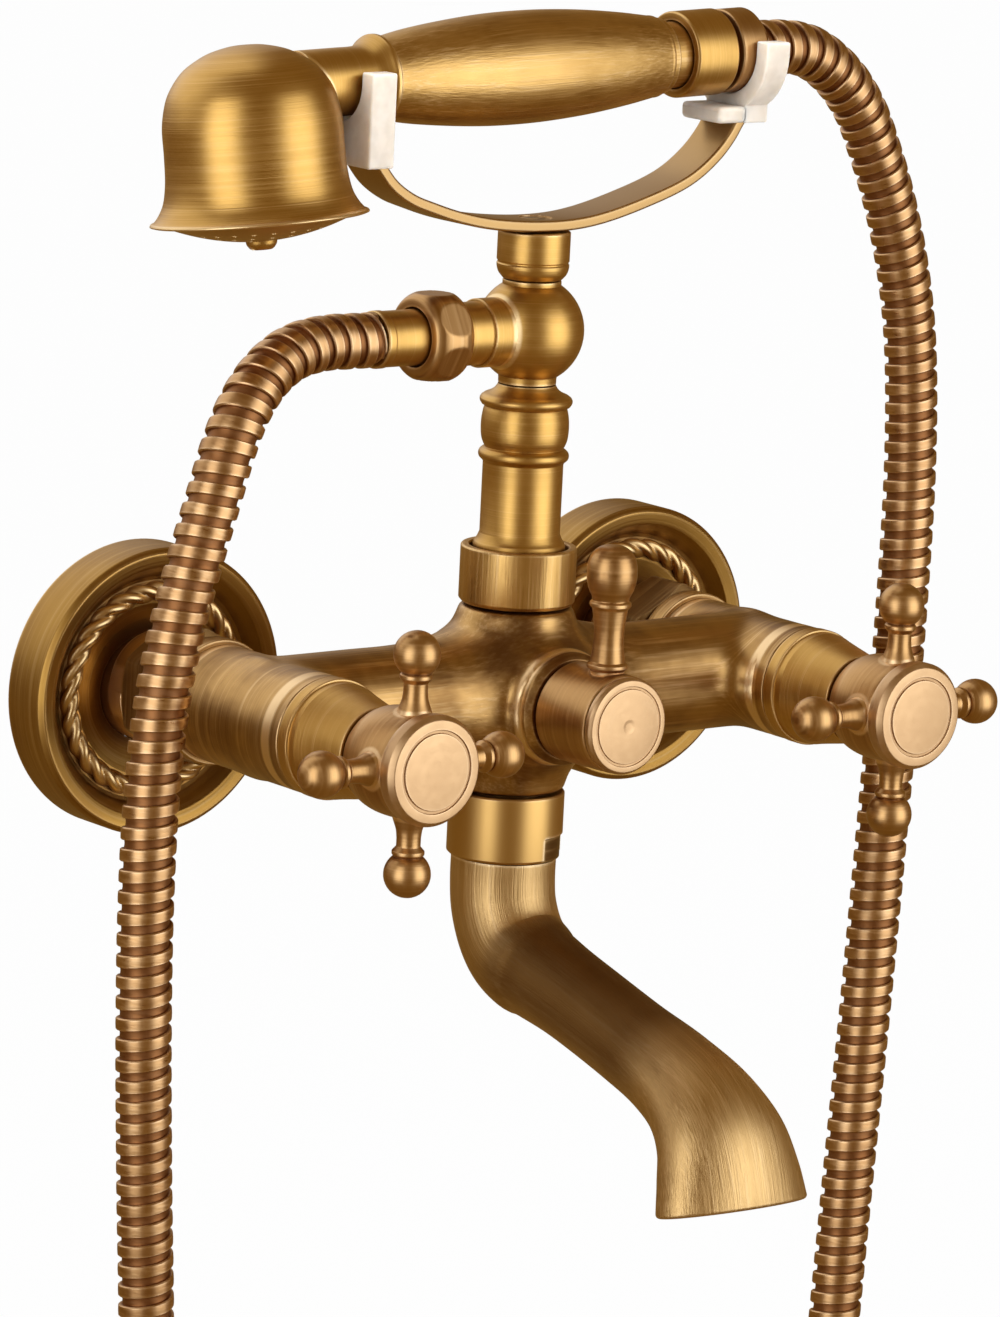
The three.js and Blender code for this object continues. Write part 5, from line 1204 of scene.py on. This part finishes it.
collar = {"low": -40.9, "notch": 6.1, "from": 24, "to": 84}
spout = {
    "top": -41.2, "topRadius": 13.1, "pipe": 11.2, "wall": 2.2, "reach": 94.9, "drop": 67.5,
    "mouthWidth": 21.5, "mouthDepth": 12.5, "rows": 120,
    "line": [
        [0, 0], [0, 0.086], [0.009, 0.182], [0.041, 0.279], [0.08, 0.338], [0.135, 0.376], [0.203, 0.4],
        [0.356, 0.45], [0.572, 0.53], [0.736, 0.593], [0.867, 0.673], [0.944, 0.773], [0.979, 0.889], [1, 1],
    ],
    "swell": [
        [0, 1, 0], [0.2, 0.98, 0], [0.285, 0.4, 0], [0.41, 0, 0], [0.56, 0, 0], [0.685, 0, 0.145],
        [0.787, 0, 0.37], [0.87, 0, 0.64], [0.94, 0, 0.855], [1, 0, 1],
    ],
}


# Sector of a ring round the column, in degrees from the right towards the front
def ringSector(name, inner, outer, start, end, low, high):
    outline = [*arc(outer, -start, -end, 24), *arc(inner, -end, -start, 24)]
    place = facing("up", 0, -body["reach"], (low + high) / 2)
    return plate(name, outline, high - low, 0.15, place, usual=0.2)


def makeSpoutPipe(sizes):
    line, length = evenly(throughPoints([
        [0, -body["reach"] - out * sizes["reach"], sizes["top"] - down * sizes["drop"]]
        for out, down in sizes["line"]
    ], 16), 160)
    run = np.linspace(0, length, len(line))
    swell = throughPoints(sizes["swell"], 10)
    wall = sizes["wall"]
    # the lip is rounded over half the wall
    turn = np.linspace(0, math.pi / 2, 7)
    pipe = np.linspace(0, length - wall / 2, sizes["rows"])[:-1]
    at = np.concatenate([pipe, length - wall / 2 * (1 - np.sin(turn))])
    lip = np.concatenate([np.zeros(len(pipe)), wall / 2 * (1 - np.cos(turn))])
    place, slope = sampled(at, run, line), unit(sampled(at, run, np.gradient(line, axis=0)))
    up = np.cross(slope, (1, 0, 0))
    head, mouth = (np.interp(at / length, swell[:, 0], swell[:, k]) for k in (1, 2))
    size = sizes["pipe"] + head * (sizes["topRadius"] - sizes["pipe"])
    width = size + mouth * (sizes["mouthWidth"] - sizes["pipe"])
    depth = size + mouth * (sizes["mouthDepth"] - sizes["pipe"])
    around = fullTurn(96)
    points, grain = [], []
    rows = [(i, -lip[i]) for i in range(len(at))] + [(i, lip[i] - wall) for i in reversed(range(len(at)))]
    for i, grown in rows:
        side, rise = (width[i] + grown) * np.cos(around), (depth[i] + grown) * np.sin(around)
        points.append(place[i] + side[:, None] * np.array((1, 0, 0)) + rise[:, None] * up[i])
        grain.append(np.column_stack([side, rise, np.full(len(around), at[i])]))
    return makeMesh("spoutPipe", np.vstack(points), gridFaces(len(rows), len(around), True), np.vstack(grain))


spigot = turned("spigot", [[10.5, -41.2], [12.3, -41.2], [12.3, -34.5], [10.5, -34.5]], upright)
key = ringSector("spoutKey", 11.7, 13.8, 25.3, 82.7, -40.9, -35.1)
fit(joined("bathSpout", makeSpoutPipe(spout), spigot), "spout", "spoutBrass", "aged_brass", "bath_spout")
# painted shade in the collar's notch: the key is given the darker shaded brass
fit(key, "spout", "darkBrass", "aged_brass", "bath_spout")
spoutCollar = turned("spoutCollar", [
    [12.6, -40.9], [13.8, -40.9, 0.2], [14.4, -40.3, 0.4], [14.4, -24.7, 0.3], [14.1, -24.3, 0.2],
    [10.8, -24.3], [10.8, -29.5], [12.6, -29.5],
], upright)
notch = ringSector("notch", 12, 19.4, collar["from"], collar["to"], -46, collar["low"] + collar["notch"])
fit(cutAway(spoutCollar, notch), "spout", "drawnBrass", "aged_brass", "spout_collar")
print("spout made")


# Inner pieces that stay as they are, with their own finishes

inner = {
    "innerBrass": ["left_ceramic_cartridge", "right_ceramic_cartridge", "diverter_cartridge",
                   "left_valve_spindle", "right_valve_spindle", "diverter_spindle"],
    "plainSteel": ["left_handle_screw", "right_handle_screw", "diverter_screw"],
    "sealRubber": ["left_union_washer", "right_union_washer", "riser_seal_ring", "spout_seal_ring",
                   "hose_outlet_washer", "hose_washer"],
}
for material, names in inner.items():
    for name in names:
        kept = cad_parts[name].data.materials
        kept.clear()
        kept.append(materials[material])


# Studio: pale floor, white surround, soft lamps, and a tent that the metal reflects

studio = {
    "centre": (0, -0.06, 0.03), "lampDistance": 1.15, "tentRadius": 1.6,
    "floor": -530, "floorHalf": 6000, "floorGlow": 0.97, "surround": 0.55,
    "lamps": [
        {"name": "leftLamp", "turn": -42, "rise": 22, "power": 10.5, "size": 0.7},
        {"name": "rightLamp", "turn": 58, "rise": 18, "power": 10.5, "size": 0.7},
        {"name": "topLamp", "turn": 10, "rise": 74, "power": 10.5, "size": 0.9},
    ],
    "windows": [[-38, 19, 16, 1], [64, 24, 20, 1]],
    "windowTop": (0.6, 1.25, 1.0, 0.0), "windowFoot": (-0.9, -0.35),
    "high": [-125, 45, 50, 0.45], "highFoot": (-0.1, 0.5),
    "dim": (0.245, 0.148, 0.042), "bright": (2.3, 2.4, 2.6),
}
cameraTurn = math.degrees(math.atan2(towardsCamera.y, towardsCamera.x))


def seenDirectly(tree):
    path = tree.nodes.new("ShaderNodeLightPath").outputs
    mirrored = calculate(tree, "MAXIMUM", path["Is Glossy Ray"], path["Is Transmission Ray"])
    return calculate(tree, "MAXIMUM", path["Is Camera Ray"], mirrored)


def makeFloor(sizes):
    half = sizes["floorHalf"]
    floor = makeMesh("floor", rectangle(half, half, 0), [(0, 1, 2, 3)], np.zeros((4, 3)),
                     Matrix.Translation((0, 0, sizes["floor"])))
    material, tree, surface = newMaterial("paleFloor")
    speck = noise(tree, objectPlace(tree), 0.02)
    tone = blendColors(tree, speck, color(0.8, 0.8, 0.8), color(0.82, 0.82, 0.82))
    setInput(tree, surface.inputs["Base Color"], tone)
    surface.inputs["Roughness"].default_value = 0.9
    glow = addNode(tree, "ShaderNodeEmission", {0: color(1, 1, 1), 1: 1.0})
    share = times(tree, seenDirectly(tree), sizes["floorGlow"])
    mixed = addNode(tree, "ShaderNodeMixShader", {0: share, 1: surface.outputs[0], 2: glow.outputs[0]})
    # seen from below, the floor lets the view through
    clear = tree.nodes.new("ShaderNodeBsdfTransparent")
    under = tree.nodes.new("ShaderNodeNewGeometry").outputs["Backfacing"]
    both = addNode(tree, "ShaderNodeMixShader", {0: under, 1: mixed.outputs[0], 2: clear.outputs[0]})
    setInput(tree, tree.nodes["Material Output"].inputs["Surface"], both.outputs[0])
    floor.data.materials.append(material)
    floor.visible_glossy = False


def makeSurround(level):
    world = bpy.data.worlds.new("surround")
    bpy.context.scene.world = world
    world.use_nodes = True
    tree = world.node_tree
    tone = blendColors(tree, seenDirectly(tree), color(level, level, level), color(1, 1, 1))
    setInput(tree, tree.nodes["Background"].inputs["Color"], tone)


def makeLamp(sizes):
    lamp = bpy.data.lights.new(sizes["name"], "AREA")
    lamp.shape = "DISK"
    lamp.size = sizes["size"]
    lamp.energy = sizes["power"]
    made = bpy.data.objects.new(sizes["name"], lamp)
    bpy.context.scene.collection.objects.link(made)
    turn, rise = math.radians(cameraTurn + sizes["turn"]), math.radians(sizes["rise"])
    away = Vector((math.cos(turn) * math.cos(rise), math.sin(turn) * math.cos(rise), math.sin(rise)))
    made.location = Vector(studio["centre"]) + studio["lampDistance"] * away
    made.rotation_euler = away.to_track_quat("Z", "Y").to_euler()
    made.visible_glossy = False


# Soft windows in a dim tent round the object; the camera and the shadows don't see it
def makeTent(sizes):
    bpy.ops.mesh.primitive_uv_sphere_add(
        segments=48, ring_count=24, radius=sizes["tentRadius"], location=sizes["centre"])
    tent = bpy.context.object
    tent.name = "tent"
    tent.rotation_euler.z = math.radians(cameraTurn)
    material = bpy.data.materials.new("tentCloth")
    material.use_nodes = True
    tree = material.node_tree
    tree.nodes.remove(tree.nodes["Principled BSDF"])
    spot = tree.nodes.new("ShaderNodeTexCoord").outputs["Object"]
    x, y, z = addNode(tree, "ShaderNodeSeparateXYZ", {0: spot}).outputs
    turn = times(tree, calculate(tree, "ARCTAN2", y, x), 180 / math.pi)

    def window(centre, half, soft, strength):
        off = calculate(tree, "ABSOLUTE", calculate(tree, "SUBTRACT", turn, float(centre)))
        return spread(tree, off, half - soft / 2, half + soft / 2, float(strength), 0.0)

    total = calculate(tree, "ADD", *(window(*sides) for sides in sizes["windows"]))
    level = times(tree, total, spread(tree, z, *sizes["windowTop"]))
    level = times(tree, level, spread(tree, z, *sizes["windowFoot"]))
    high = times(tree, window(*sizes["high"]), spread(tree, z, *sizes["highFoot"]))
    level = calculate(tree, "MAXIMUM", level, high)
    tone = blendColors(tree, level, color(*sizes["dim"]), color(*sizes["bright"]))
    glow = addNode(tree, "ShaderNodeEmission", {0: tone, 1: 1.0})
    setInput(tree, tree.nodes["Material Output"].inputs["Surface"], glow.outputs[0])
    tent.data.materials.append(material)
    tent.visible_camera = False
    tent.visible_diffuse = False
    tent.visible_transmission = False
    tent.visible_shadow = False


makeFloor(studio)
makeSurround(studio["surround"])
for lamp in studio["lamps"]:
    makeLamp(lamp)
makeTent(studio)
bpy.context.scene.view_settings.view_transform = "Standard"
print("studio made")
